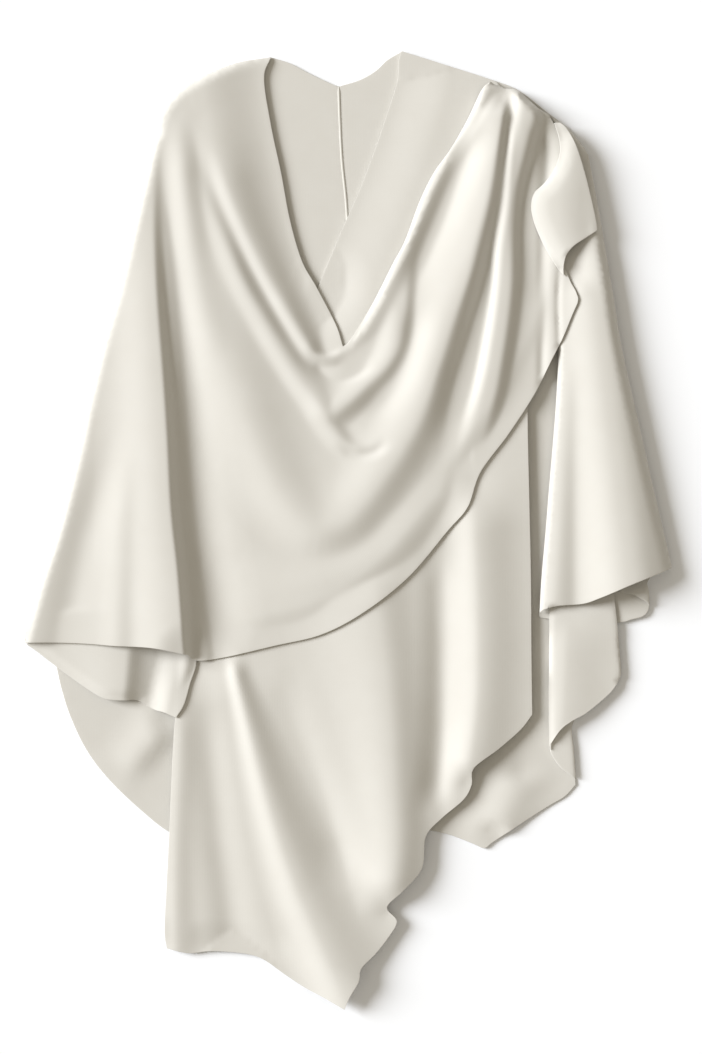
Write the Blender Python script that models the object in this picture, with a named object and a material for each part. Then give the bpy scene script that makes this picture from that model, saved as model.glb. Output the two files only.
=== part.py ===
"""A cream shawl wrap laid flat: two lengths of cloth joined at the centre back.

Each piece of cloth is a wall of one thickness. Its outline is joined from short
named edges, and its relief is a rest height plus a table of folds. All tables are
in millimetres, X to the right, Y toward the neck, Z up from the surface it lies on.
"""

import math

import bmesh
import bpy
import numpy as np
from mathutils import Vector
from mathutils.geometry import delaunay_2d_cdt

MM = 0.001
WALL = 1.8            # thickness of the cloth
SEAM_GAP = 0.3        # between the two back halves
EDGE_STEP = 13.0      # spacing of the points along an edge
REST_GAP = 0.4        # between cloth that lies flat on cloth
FOLD_GAP = 1.4        # least gap between layers where either is curved
FOLD_RADIUS = 6.5     # round of a folded side
NECK_SLOPE = 66.0     # how far the cowl falls away toward its neck edge
HEM_DROP = 36.0       # how far in a hem starts to come down to what it lies on
BELL_CUT = 0.03       # share of a fold's height below which it ends
BEND_LIMIT = 1.8      # bend over one step above which a panel keeps its closer points
NARROW_REACH = 12.0   # folds this narrow get points of their own along their tops
RIDGE_STEP = 12.0     # spacing of those points
LAYER = WALL + REST_GAP
BACK_TOP = WALL
FIRST_LAYER = BACK_TOP + LAYER
SECOND_LAYER = FIRST_LAYER + LAYER

# Edges, one short table each. Columns: x, y.
NECK_LEFT_CORNER = (-80.9, 497.7)
NECK_BACK_LEFT = ((-80.9, 497.7), (-60.9, 491.4), (-43.1, 482), (-18.9, 470.4), (-10.1, 467.2))
NECK_BACK_RIGHT = ((-9.7, 467.2), (11.6, 473.6), (28.4, 483), (41, 494.6), (56.7, 504))
CENTRE_SEAM = ((-9.9, 467.2), (-8.4, 425.2), (-6.3, 387.4), (-1.1, 330.8), (1.1, 240.5), (2.1, 72.5), (2.1,
    -116.6), (2.1, -332.9))
LEFT_SHOULDER = ((-80.9, 497.7), (-117.6, 491.4), (-154.3, 476.7), (-181.7, 459.9), (-197.4, 440), (-202.7,
    417.9))
LEFT_SIDE = ((-202.7, 417.9), (-216.3, 363.3), (-228.9, 312.9), (-243.6, 251), (-259.4, 194.2), (-273,
    137.6), (-285.6, 79.8), (-305.6, 2.1), (-324.4, -55.7), (-342.3, -119.7))
RIGHT_SHOULDER = ((56.7, 504), (102.9, 489.3), (150.2, 474.6), (179.6, 463.1), (210, 440), (228.9, 425.2),
                  (246.8, 405.3), (253.1, 393.8))
RIGHT_SIDE = ((253.1, 393.8), (264.6, 332.9), (279.3, 246.8), (288.8, 189), (308.7, 100.8), (323.4, 35.7),
              (336, -17.9), (341.2, -41))
BACK_HEM_LEFT = ((2.1, -332.9), (-50.4, -339.2), (-113.4, -334.9), (-155.4, -328.7), (-188, -320.2),
                 (-220.5, -295.1), (-253.1, -263.6), (-276.2, -233.1), (-292.9, -198.5), (-302.4, -169.1),
                 (-307.7, -146))
BACK_HEM_RIGHT = ((240.5, -269.9), (228.9, -282.4), (211.1, -292.9), (179.6, -312.9), (151.2, -331.8),
                  (143.8, -337.1), (131.2, -331.8), (101.9, -321.3), (75.6, -318.2), (38.9, -326.6), (2.1,
                      -332.9))

SLEEVE_HEM = ((-342.3, -119.7), (-309.8, -119.7), (-275.1, -120.8), (-245.7, -122.9), (-204.8, -125),
              (-168, -132.3))
COWL_HEM = ((-168, -132.3), (-159.6, -138.6), (-131.2, -135.5), (-76.7, -122.9), (-28.4, -111.3), (15.8,
    -88.2), (64, -50.4), (105, -2.1),
            (126, 23.1), (139.7, 59.9), (169.1, 99.8), (196.3, 141.8), (214.2, 177.5), (225.8, 200.6),
            (235.2, 223.7), (241, 237.3), (241.5, 242.6))
THROWN_END = ((241.5, 242.6), (238.4, 251), (233.1, 261.4), (225.8, 284.6), (228.9, 319.2), (233.1, 355.9),
              (228.9, 397.9), (218.4, 422.1), (211.1, 435.8))
PLEAT_TOPS = ((211.1, 435.8), (202.7, 441), (179.6, 461), (164.8, 464.1), (157.5, 467.2), (150.2, 470.4))
ROLL_EDGE = ((150.2, 470.4), (140.7, 462), (125, 429.5), (108.2, 400.1), (90.3, 374.9), (75.6, 345.4),
             (59.9, 303.4), (47.2, 279.3),
             (24.2, 234.2), (2.1, 198.5), (-5.2, 192.2))
COWL_NECK = ((-5.2, 192.2), (-12.6, 215.2), (-32.6, 254.1), (-48.3, 282.4), (-60.9, 325.5), (-70.4, 375.9),
             (-80.9, 425.2), (-88.2, 474.6), (-80.9, 497.7))

FRONT_NECK = ((56.7, 504), (53.6, 494.6), (52.5, 474.6), (45.1, 449.4), (28.4, 400.1), (11.6, 355.9),
              (-8.4, 310.8), (-32, 254.1))
FRONT_LEFT_HIDDEN = ((-32, 254.1), (-79.8, 135.5), (-128.1, -11.6), (-165.9, -132.3))
FRONT_LEFT_EDGE = ((-165.9, -132.3), (-170.1, -146), (-181.7, -197.4), (-188, -318.2), (-191.1, -379.1),
                   (-193.2, -424.2), (-191.1, -442.1))
FRONT_HEM = ((-191.1, -442.1), (-168, -447.3), (-147, -445.2), (-121.8, -446.2), (-100.8, -449.4), (-86.1,
    -455.7), (-67.2, -469.4), (-46.2, -483), (-25.2, -493.5), (-3.7, -505.1))
FRONT_CASCADE = ((-3.7, -505.1), (2.1, -491.4), (11.6, -474.6), (13.7, -462), (28.4, -447.3), (42, -430.5),
                 (51.5, -412.7), (41, -397.9),
                 (57.8, -380.1), (77.7, -357), (81.9, -323.4), (98.7, -304.5), (121.8, -284.6), (130.2,
                     -268.8), (132.3, -251), (158.6, -231), (181.7, -211.1), (193.9, -195.3))
FRONT_RIGHT_EDGE = ((193.9, -195.3), (193.2, -137.6), (192.2, -32.6), (189, 127.1), (189, 292.9), (185.8,
    431.6), (174.3, 457.8))
FRONT_SHOULDER = ((174.3, 457.8), (159.6, 468.3), (150.2, 474.1), (102.9, 489.3), (56.7, 504))

SLEEVE_BACK_HEM = ((-339.2, -121.8), (-329.7, -128.1), (-307.7, -144.9), (-275.1, -168), (-256.2, -178.5),
                   (-237.3, -180.6), (-222.6, -180.6), (-204.8, -190.1), (-193.2, -193.2), (-180.6, -198.5))
SLEEVE_BACK_BAND = ((-180.6, -198.5), (-172.2, -184.8), (-165.9, -162.8), (-159.6, -140.7), (-163.8,
    -116.6), (-168, -97.7))
SLEEVE_BACK_TOP = ((-168, -97.7), (-228.9, -93.5), (-291.9, -97.7), (-323.4, -106.1), (-339.2, -121.8))

DRAPE_SHOULDER = ((214.2, 433.7), (228.9, 425.2), (246.8, 405.3), (253.1, 393.8))
DRAPE_HEM = ((341.2, -41), (325.5, -47.2), (296.1, -58.8), (264.6, -72.5), (246.8, -78.8), (220.5, -80.9),
             (205.8, -85), (201.6, -88.2))
DRAPE_EDGE = ((201.6, -88.2), (203.7, -52.5), (207.9, -4.2), (211.1, 35.7), (218.4, 123.9), (221.6, 189),
              (219.5, 282.4), (215.2, 366.4), (214.2, 433.7))

UPPER_FOLD_SIDE = ((212.1, -72.5), (212.1, -127.1), (211.6, -179.6), (212.1, -232.1))
UPPER_FOLD_HEM = ((212.1, -232.1), (213.2, -226.8), (223.7, -211.1), (236.2, -201.6), (249.9, -194.2),
                  (265.7, -181.7), (277.2, -171.2), (284.6, -160.7))
UPPER_FOLD_RIGHT = ((284.6, -160.7), (287.7, -150.2), (284.6, -112.4), (282.4, -89.2), (279.3, -64))
UPPER_FOLD_TOP = ((279.3, -64), (243.6, -64), (212.1, -72.5))

UNDER_FOLD_HEM = ((214.2, -216.3), (213.2, -233.1), (217.4, -242.6), (225.8, -253.1), (240.5, -263.6))
UNDER_FOLD_SIDE = ((240.5, -263.6), (238.4, -233.1), (236.2, -205.8), (243.6, -183.8))
UNDER_FOLD_TOP = ((243.6, -183.8), (227.9, -169.1), (214.2, -169.1), (214.2, -216.3))

ROLL_FRONT_HEM = ((284.6, -66.2), (299.2, -68.8), (308.7, -73.5), (315, -77.7), (317.6, -80.9))
ROLL_FRONT_SIDE = ((317.6, -80.9), (317.1, -66.2), (313.9, -52.5))
ROLL_FRONT_TOP = ((313.9, -52.5), (300.3, -53.6), (284.6, -66.2))
SLEEVE_UNDER_HEM = ((202.7, -80.9), (201.6, -91.4), (205.8, -94), (213.2, -95), (248.9, -100.8), (286.7,
    -98.7), (299.2, -95.5),
                    (310.8, -92.4), (316.1, -87.2), (318.2, -78.8))
SLEEVE_UNDER_SIDE = ((318.2, -78.8), (316.1, -66.2), (313.9, -52.5))
SLEEVE_UNDER_TOP = ((313.9, -52.5), (290.9, -57.8), (254.1, -66.2), (222.6, -72.5), (202.7, -80.9))

CASCADE_LEFT = ((216.3, 426.3), (220.5, 413.7), (222.6, 402.2), (221.6, 390.6), (215.2, 374.9), (204.8,
    362.2), (196.3, 353.9), (192.7, 343.4),
                (193.2, 330.8), (198.5, 313.9), (207.9, 294), (218.4, 276.2), (226.8, 265.7))
CASCADE_HEM = ((226.8, 265.7), (226.3, 275.1), (228.9, 286.7), (236.2, 296.1), (247.8, 304), (261.4, 312.9))
CASCADE_RIGHT = ((261.4, 313.9), (260.4, 323.4), (254.1, 351.8), (245.7, 383.2), (238.4, 404.2), (230,
    420), (222.6, 426.3), (216.3, 426.3))

# Folds. Columns: name, rise at its head, rise at its tail, reach on the left hand of
# its route at head and tail, reach on the right hand at head and tail, share of the
# length over which head and tail fade, flatness of its top (2 is round), route.
COWL_FOLDS = (
    ("cowl_roll_left", 4, 7, 30, 5, 18, 15, 0.3, 0.13, 2,
     ((-155.4, 431.6), (-135.5, 387.4), (-117.6, 338.1), (-92.4, 284.6), (-68.2, 237.3), (-46.2, 198.5),
      (-31.5, 182.7), (-14.7, 179.6))),
    ("cowl_roll_right", 6, 5.5, 5, 9, 15, 15, 0.13, 0.05, 2,
     ((-54.6, 210), (-45.1, 195.3), (-31.5, 181.7), (-16.8, 180.6), (-5.2, 188), (9.5, 201.6), (33.6,
         238.4), (54.6, 280.4), (70.4, 312.9),
      (96.6, 369.6), (130.2, 424.2), (146, 453.6))),
    ("second_roll", 5, 5, 14, 26, 22, 9, 0.3, 0.4, 2,
     ((-159.6, 397.9), (-147, 370.7), (-115.5, 271.9), (-88.2, 218.4), (-74.5, 194.2), (-57.8, 170.1),
      (-37.8, 143.8), (-19.9, 122.9), (-3.2, 131.2),
      (18.9, 152.2), (41, 172.2), (53.6, 193.2), (58.8, 224.7), (63, 271.9), (74.5, 319.2), (93.5, 366.4))),
    ("third_scoop", 4, 4, 9, 10, 14, 14, 0.35, 0.3, 2,
     ((-45.1, 151.2), (-28.4, 126), (-14.7, 104), (0, 87.2), (17.9, 81.9), (37.8, 87.2))),
    ("long_ridge", 4, 13, 36, 34, 40, 11, 0.25, 0.03, 2,
     ((-170.1, 355.9), (-152.2, 276.2), (-137.6, 214.2), (-117.6, 164.8), (-94.5, 93.5), (-68.2, 38.9),
      (-34.6, 3.2), (-4.2, 7.4), (18.9, 30.5),
      (42, 62), (62, 92.4), (79.8, 127.1), (93.5, 172.2), (112.4, 228.9), (135.5, 288.8), (152.2, 350.7),
      (160.7, 408.5), (162.8, 455.7))),
    ("shoulder_pleat", 9, 7, 16, 14, 17, 15, 0.03, 0.35, 4,
     ((191.1, 452.6), (183.8, 413.7), (174.3, 376.9), (169.6, 340.2), (165.9, 298.2), (163.8, 251), (157.5,
         198.5), (146, 135.5), (126, 67.2))),
    ("left_shoulder_ridge", 4, 5, 12, 26, 12, 24, 0.25, 0.4, 2,
     ((-178.5, 437.9), (-175.3, 400.1), (-169.1, 325.5), (-158.6, 251), (-142.8, 189), (-128.1, 125))),
    ("sleeve_fold", 5, 14, 7, 7, 30, 58, 0.35, 0.02, 2.4,
     ((-203.7, 397.9), (-205.8, 334.9), (-202.7, 266.7), (-198.5, 209), (-194.2, 156.5), (-190.1, 96.6),
      (-185.8, 18.9), (-178.5, -48.3), (-172.2, -132.3))),
    ("sleeve_ridge", 3, 5, 14, 20, 14, 20, 0.5, 0.02, 2,
     ((-218.4, 135.5), (-228.9, 72.5), (-235.2, -1.1), (-239.4, -127.1))),
    ("hem_swell", 4, 4, 30, 30, 40, 30, 0.4, 0.4, 2,
     ((-113.4, -32.6), (-60.9, -58.8), (2.1, -48.3), (65.1, -1.1), (107.1, 62))),
)
BACK_LEFT_FOLDS = (
    ("back_curve_swell", 5, 4, 10, 10, 34, 30, 0.2, 0.25, 2,
     ((-200.6, -211.1), (-211.1, -244.7), (-215.2, -279.3), (-207.9, -305.6))),
)
BACK_RIGHT_FOLDS = (
    ("back_corner_swell", 4, 5, 24, 24, 24, 24, 0.3, 0.2, 2,
     ((182.7, -255.2), (172.2, -284.6), (156.5, -318.2))),
)
COWL_CREASES = (
    ("sleeve_valley", 2, 4, 14, 22, 14, 22, 0.5, 0.02, 2,
     ((-241.5, 114.5), (-260.4, 51.5), (-277.2, -11.6), (-289.8, -74.5), (-298.2, -127.1))),
    ("side_valley", 2, 7, 14, 34, 8, 11, 0.2, 0.02, 2,
     ((-193.2, 412.7), (-189, 350.7), (-179.6, 276.2), (-173.2, 201.6), (-169.1, 135.5), (-164.8, 59.9),
      (-157.5, -12.6), (-149.1, -72.5), (-141.8, -132.3))),
    ("pleat_valley", 4, 8, 4, 15, 5, 20, 0.15, 0.3, 2,
     ((169.1, 450.5), (164.8, 397.9), (158.6, 342.3), (149.1, 292.9), (140.7, 235.2), (126, 172.2), (109.2,
         125), (90.3, 83))),
    ("cowl_pocket", 3, 4, 14, 14, 14, 14, 0.3, 0.3, 2,
     ((12.6, 109.2), (31.5, 127.1), (50.4, 151.2), (65.1, 188), (75.6, 240.5))),
    ("roll_valley", 3, 5, 15, 22, 15, 15, 0.3, 0.2, 2,
     ((59.9, 240.5), (79.8, 292.9), (96.6, 329.7), (113.4, 371.7), (134.4, 419))),
    ("inner_valley", 2.5, 2.5, 8, 8, 8, 8, 0.3, 0.4, 2,
     ((-151.2, 397.9), (-142.8, 366.4), (-128.1, 327.6), (-105, 276.2), (-80.9, 234.2), (-54.6, 194.2),
      (-37.8, 173.2), (-10.5, 162.8), (14.7, 164.8))),
    ("cascade_valley", 4, 3, 12, 20, 12, 20, 0.1, 0.4, 2,
     ((206.9, 419), (201.6, 387.4), (193.2, 355.9), (191.1, 319.2), (197.4, 271.9))),
)
FRONT_FOLDS = (
    ("left_edge_ridge", 2, 2, 12, 14, 9, 9, 0.25, 0.1, 2,
     ((-172.2, -158.6), (-177.5, -200.6), (-179.6, -257.2), (-183.8, -347.6), (-183.8, -442.1))),
    ("first_ridge", 6, 11, 9, 46, 7, 26, 0.06, 0.04, 2,
     ((-123.9, -131.2), (-117.6, -156.5), (-107.1, -196.3), (-91.4, -257.2), (-73.5, -318.2), (-52.5,
         -378), (-31.5, -424.2), (-6.3, -484.1))),
    ("middle_ridge", 7, 11, 34, 26, 62, 26, 0.15, 0.12, 2,
     ((18.9, -32.6), (31.5, -95.5), (42, -179.6), (47.2, -263.6), (50.4, -337.1), (42, -405.3))),
    ("right_ridge", 7, 8, 36, 34, 20, 17, 0.2, 0.1, 2,
     ((132.3, 51.5), (136.5, -32.6), (138.6, -116.6), (136.5, -190.1), (125, -268.8))),
)
FRONT_CREASES = (
    ("left_trough", 2, 3, 14, 20, 14, 16, 0.3, 0.2, 2,
     ((-149.1, -146), (-144.9, -221.6), (-134.4, -316.1), (-117.6, -410.6))),
    ("middle_trough", 2, 4, 20, 16, 26, 22, 0.25, 0.25, 2,
     ((-75.6, -150.2), (-50.4, -226.8), (-18.9, -310.8), (4.2, -379.1))),
    ("right_trough", 3.5, 4.5, 15, 12, 15, 14, 0.2, 0.15, 2,
     ((96.6, -16.8), (98.7, -116.6), (96.6, -221.6), (89.2, -300.3))),
)
DRAPE_FOLDS = (
    ("arm_swell", 6, 16, 24, 44, 26, 44, 0.25, 0.02, 2.4,
     ((243.6, 392.7), (254.1, 313.9), (264.6, 219.5), (276.2, 114.5), (286.7, 30.5), (296.1, -58.8))),
    ("inner_ridge", 3, 4, 12, 20, 12, 16, 0.3, 0.02, 2,
     ((235.2, 209), (231, 114.5), (224.7, 9.5), (218.4, -83))),
)
DRAPE_CREASES = (
    ("under_cascade", 3, 4, 12, 14, 16, 16, 0.2, 0.3, 2,
     ((228.9, 334.9), (235.2, 308.7), (241.5, 280.4), (245.7, 248.9))),
)
CASCADE_FOLDS = (
    ("cascade_roll", 3, 6, 30, 30, 30, 30, 0.15, 0.05, 2,
     ((228.9, 416.9), (231, 392.7), (228.9, 361.2), (225.8, 340.2), (228.9, 313.9), (237.3, 290.9))),
)
BAND_FOLDS = (
    ("band", 3, 3.5, 7, 7, 9, 9, 0.1, 0.05, 2,
     ((-169.1, -116.6), (-170.1, -141.8), (-177.5, -169.1), (-186.9, -192.2))),
    ("sleeve_back_swell", 5, 5, 13, 13, 52, 48, 0.05, 0.05, 2,
     ((-232.1, -95.5), (-233.1, -132.3), (-237.3, -181.7))),
)
BAND_CREASES = (
    ("band_valley", 2, 3, 8, 8, 14, 14, 0.1, 0.02, 2,
     ((-194.2, -116.6), (-199.5, -148.1), (-203.7, -181.7))),
)
UPPER_FOLDS = (
    ("upper_swell", 3, 4, 34, 34, 16, 16, 0.3, 0.1, 2,
     ((232.1, -85), (231, -137.6), (227.9, -195.3))),
)
BACK_SIDE_LEFT = ((-342.3, -119.7), (-323.4, -127.1), (-307.7, -146))
BACK_SIDE_RIGHT = ((341.2, -41), (319.2, -51.5), (313.9, -66.2), (310.8, -85), (284.6, -94.5), (281.4,
    -127.1), (280.4, -158.6), (264.6, -179.6),
                   (238.4, -202.7), (237.3, -232.1), (240.5, -269.9))

# Panels, from the surface up. Columns: name, rest height of its upper face, spacing of
# its points, edges (table, kind, height at the edge, reach), folds, creases, layers below.
PANELS = (
    ("back_left_half", BACK_TOP, 22, (
        (NECK_BACK_LEFT, "hem", 0, 0), (CENTRE_SEAM, "seam", 0, 0), (BACK_HEM_LEFT, "hem", 0, 0),
        (BACK_SIDE_LEFT, "hem", 0, 0), (LEFT_SIDE, "hem", 0, 0), (LEFT_SHOULDER, "hem", 0, 0)),
        BACK_LEFT_FOLDS, (), ()),
    ("back_right_half", BACK_TOP, 22, (
        (NECK_BACK_RIGHT, "hem", 0, 0), (RIGHT_SHOULDER, "hem", 0, 0), (RIGHT_SIDE, "hem", 0, 0),
        (BACK_SIDE_RIGHT, "hem", 0, 0), (BACK_HEM_RIGHT, "hem", 0, 0), (CENTRE_SEAM, "seam", 0, 0)),
        BACK_RIGHT_FOLDS, (), ()),
    ("left_front", FIRST_LAYER + 5, 11.5, (
        (FRONT_NECK, "drop", FIRST_LAYER + 1, 56), (FRONT_LEFT_HIDDEN, "drop", FIRST_LAYER, 60),
        (FRONT_LEFT_EDGE, "hem", 0, 0), (FRONT_HEM, "drop", FIRST_LAYER, HEM_DROP),
        (FRONT_CASCADE, "hem", 0, 0), (FRONT_RIGHT_EDGE, "hem", 0, 0), (FRONT_SHOULDER, "drop",
            FIRST_LAYER, 40)),
        FRONT_FOLDS, FRONT_CREASES, ()),
    ("left_sleeve_back", FIRST_LAYER + 2.5, 12, (
        (SLEEVE_BACK_HEM, "drop", FIRST_LAYER + 0.3, 12), (SLEEVE_BACK_BAND, "fold", SECOND_LAYER, 5),
        (SLEEVE_BACK_TOP, "hem", 0, 0)), BAND_FOLDS, BAND_CREASES, ("left_front",)),
    ("right_sleeve_back", FIRST_LAYER, 12, (
        (SLEEVE_UNDER_HEM, "hem", 0, 0), (SLEEVE_UNDER_SIDE, "hem", 0, 0),
        (SLEEVE_UNDER_TOP, "hem", 0, 0)), (), (), ()),
    ("right_hem_under", FIRST_LAYER + 1, 12, (
        (UNDER_FOLD_HEM, "hem", 0, 0), (UNDER_FOLD_SIDE, "fold", FIRST_LAYER, 6),
        (UNDER_FOLD_TOP, "hem", 0, 0)), (), (), ()),
    ("right_hem_upper", SECOND_LAYER + 1, 12, (
        (UPPER_FOLD_SIDE, "fold", FIRST_LAYER, 6), (UPPER_FOLD_HEM, "hem", 0, 0),
        (UPPER_FOLD_RIGHT, "fold", FIRST_LAYER, 7), (UPPER_FOLD_TOP, "drop", FIRST_LAYER + 1, 24)),
        UPPER_FOLDS, (), ("right_hem_under", "right_sleeve_back")),
    ("right_roll_front", SECOND_LAYER + 2, 8, (
        (ROLL_FRONT_HEM, "hem", 0, 0), (ROLL_FRONT_SIDE, "fold", SECOND_LAYER + 0.2, 7),
        (ROLL_FRONT_TOP, "slope", SECOND_LAYER + 0.2, 12)), (), (), ()),
    ("right_sleeve", SECOND_LAYER + 4.5, 10, (
        (DRAPE_SHOULDER, "fold", FIRST_LAYER, 8), (RIGHT_SIDE, "fold", SECOND_LAYER + 2, 13), (DRAPE_HEM,
            "hem", 0, 0),
        (DRAPE_EDGE, "fold", SECOND_LAYER + 2.4, 5)), DRAPE_FOLDS, DRAPE_CREASES, ("right_hem_upper",
            "right_sleeve_back", "right_roll_front")),
    ("thrown_front", SECOND_LAYER + 6.5, 10, (
        (SLEEVE_HEM, "hem", 0, 0), (COWL_HEM, "drop", SECOND_LAYER + 2, HEM_DROP), (THROWN_END, "hem", 0,
            0),
        (PLEAT_TOPS, "fold", FIRST_LAYER + 1, 12), (ROLL_EDGE, "fold", SECOND_LAYER + 4, FOLD_RADIUS),
        (COWL_NECK, "drop", SECOND_LAYER, NECK_SLOPE), (LEFT_SHOULDER, "fold", FIRST_LAYER, 12),
        (LEFT_SIDE, "fold", FIRST_LAYER, 10)),
        COWL_FOLDS, COWL_CREASES, ("left_sleeve_back", "left_front", "right_sleeve")),
    ("shoulder_cascade", SECOND_LAYER + 11, 8, (
        (CASCADE_LEFT, "fold", SECOND_LAYER + 6, 18), (CASCADE_HEM, "hem", 0, 0), (CASCADE_RIGHT, "hem", 0,
            0)),
        CASCADE_FOLDS, (), ("thrown_front", "right_sleeve")),
)
ROW = {row[0]: row for row in PANELS}
COVERED = (("left_front", "thrown_front", 34.0),)      # panel, what hides it, how far in it turns coarse

PALETTE = {
    "ivory_cloth": (0.86, 0.84, 0.78, 1.0),
}


def smooth_step(value):
    """Ease from 0 to 1 as the value goes from 0 to 1."""
    t = np.clip(value, 0.0, 1.0)
    return t * t * (3.0 - 2.0 * t)


def spline(points, step):
    """A smooth curve through the points, with a point about every step."""
    p = np.array(points, dtype=float)
    if len(p) == 2:
        count = max(1, int(round(np.linalg.norm(p[1] - p[0]) / step)))
        return np.linspace(p[0], p[1], count + 1)
    ends = np.vstack([2 * p[0] - p[1], p, 2 * p[-1] - p[-2]])
    out = [p[0]]
    for i in range(1, len(ends) - 2):
        a, b, c, d = ends[i - 1:i + 3]
        count = max(1, int(round(np.linalg.norm(c - b) / step)))
        for k in range(1, count + 1):
            t = k / count
            out.append(0.5 * (2 * b + (c - a) * t + (2 * a - 5 * b + 4 * c - d) * t ** 2
                              + (3 * b - a - 3 * c + d) * t ** 3))
    return np.array(out)


def nearest(line, xy):
    """Distance, signed side and share of the length of the nearest point on a line."""
    a = line[:-1]
    run = line[1:] - a
    length = np.linalg.norm(run, axis=1)
    start = np.concatenate([[0.0], np.cumsum(length)])
    best = np.full(len(xy), np.inf)
    side = np.zeros(len(xy))
    share = np.zeros(len(xy))
    for i in range(len(a)):
        off = xy - a[i]
        t = np.clip((off @ run[i]) / max(length[i] ** 2, 1e-9), 0.0, 1.0)
        gap = off - t[:, None] * run[i]
        dist = np.hypot(gap[:, 0], gap[:, 1])
        closer = dist < best
        best = np.where(closer, dist, best)
        cross = run[i][0] * off[:, 1] - run[i][1] * off[:, 0]
        side = np.where(closer, cross, side)
        share = np.where(closer, (start[i] + t * length[i]) / start[-1], share)
    return best, np.sign(side), share


def fold_rise(fold, xy):
    """Height that one fold adds at each point."""
    _, head, tail, left_head, left_tail, right_head, right_tail, fade_in, fade_out, flatness, route = fold
    dist, side, share = nearest(spline(route, 8.0), xy)
    left = left_head + (left_tail - left_head) * share
    right = right_head + (right_tail - right_head) * share
    reach = np.where(side > 0, left, right)
    rise = head + (tail - head) * share
    fade = smooth_step(0.12 + share / fade_in) * smooth_step(0.12 + (1.0 - share) / fade_out)
    bell = np.maximum(np.exp(-(dist / reach) ** flatness) - BELL_CUT, 0.0) / (1.0 - BELL_CUT)
    return rise * fade * bell


def outline_of(name, step):
    """The closed outline of a panel, counter-clockwise, joined from its edges."""
    loop = []
    for table, _, _, _ in ROW[name][3]:
        line = spline(table, step)
        if loop and np.linalg.norm(line[0] - loop[-1]) > np.linalg.norm(line[-1] - loop[-1]):
            line = line[::-1]
        elif not loop:
            ends = np.array(ROW[name][3][1][0], dtype=float)[[0, -1]]
            to_first = np.min(np.linalg.norm(ends - line[0], axis=1))
            to_last = np.min(np.linalg.norm(ends - line[-1], axis=1))
            if to_first < to_last:
                line = line[::-1]
        for point in line:
            if not loop or np.linalg.norm(point - loop[-1]) > 0.8:
                loop.append(point)
    if np.linalg.norm(loop[0] - loop[-1]) < 0.8:
        loop.pop()
    loop = np.array(loop)
    after = np.roll(loop, -1, axis=0)
    area = np.sum(loop[:, 0] * after[:, 1] - after[:, 0] * loop[:, 1])
    return loop if area > 0 else loop[::-1]


def inside(loop, xy):
    """Which points lie inside a closed outline."""
    hit = np.zeros(len(xy), dtype=bool)
    after = np.roll(loop, -1, axis=0)
    for a, b in zip(loop, after):
        spans = (a[1] > xy[:, 1]) != (b[1] > xy[:, 1])
        cross = a[0] + (xy[:, 1] - a[1]) * (b[0] - a[0]) / (b[1] - a[1] + 1e-12)
        hit ^= spans & (xy[:, 0] < cross)
    return hit


def edge_distance(loop, xy):
    """Distance of each point to a closed outline."""
    return nearest(np.vstack([loop, loop[:1]]), xy)[0]


def bed(name, xy):
    """Height that the underside of a panel must stay above, from the layers below it."""
    high = np.full(len(xy), BACK_TOP + REST_GAP)
    for lower in ROW[name][6]:
        loop = outline_of(lower, 9.0)
        outside = np.where(inside(loop, xy), 0.0, edge_distance(loop, xy))
        weight = smooth_step(1.3 - outside / 24.0)
        top = relief(lower, xy) + FOLD_GAP
        high = np.maximum(high, BACK_TOP + REST_GAP + (top - BACK_TOP - REST_GAP) * weight)
    return high


def relief(name, xy):
    """Height of the upper face of a panel at each point."""
    _, rest, _, edges, folds, creases, below = ROW[name]
    total = np.zeros(len(xy))
    for fold in folds:
        total += fold_rise(fold, xy) ** 2.5
    z = rest + total ** 0.4
    for crease in creases:
        z -= fold_rise(crease, xy)
    for table, kind, low, reach in edges:
        if kind == "fold":
            t = np.clip(nearest(spline(table, 8.0), xy)[0] / reach, 0.0, 1.0)
            z = low + (z - low) * np.sqrt(1.0 - (1.0 - t) ** 2)
        if kind == "slope":
            t = nearest(spline(table, 8.0), xy)[0] / reach
            z = low + (z - low) * smooth_step(t)
        if kind == "drop":
            t = nearest(spline(table, 8.0), xy)[0] / reach
            z = z - (rest - low) * (1.0 - smooth_step(t))
    if rest <= BACK_TOP:
        return np.maximum(z, BACK_TOP)
    floor = bed(name, xy) + WALL
    eased = 0.5 * (z + floor + np.sqrt((z - floor) ** 2 + 1.0))
    return np.where((floor > FIRST_LAYER + 0.01) | (z < FIRST_LAYER), np.maximum(eased, floor), z)


def underside(name, xy, z, upright):
    """Height of the lower face, thicker up and down where the cloth is steep."""
    if ROW[name][1] <= BACK_TOP:
        return np.maximum(z - WALL, 0.0)
    depth = WALL / np.clip(upright, 0.62, 1.0)
    return np.minimum(np.maximum(z - depth, bed(name, xy)), z - 0.9 * WALL)


def bend(name, xy, step):
    """How far the relief bends away from a plane over one step."""
    middle = relief(name, xy)
    most = np.zeros(len(xy))
    for turn in (0.0, 60.0, 120.0):
        move = step * np.array((math.cos(math.radians(turn)), math.sin(math.radians(turn))))
        most = np.maximum(most, np.abs(relief(name, xy + move) + relief(name, xy - move) - 2.0 * middle))
    return most


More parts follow.
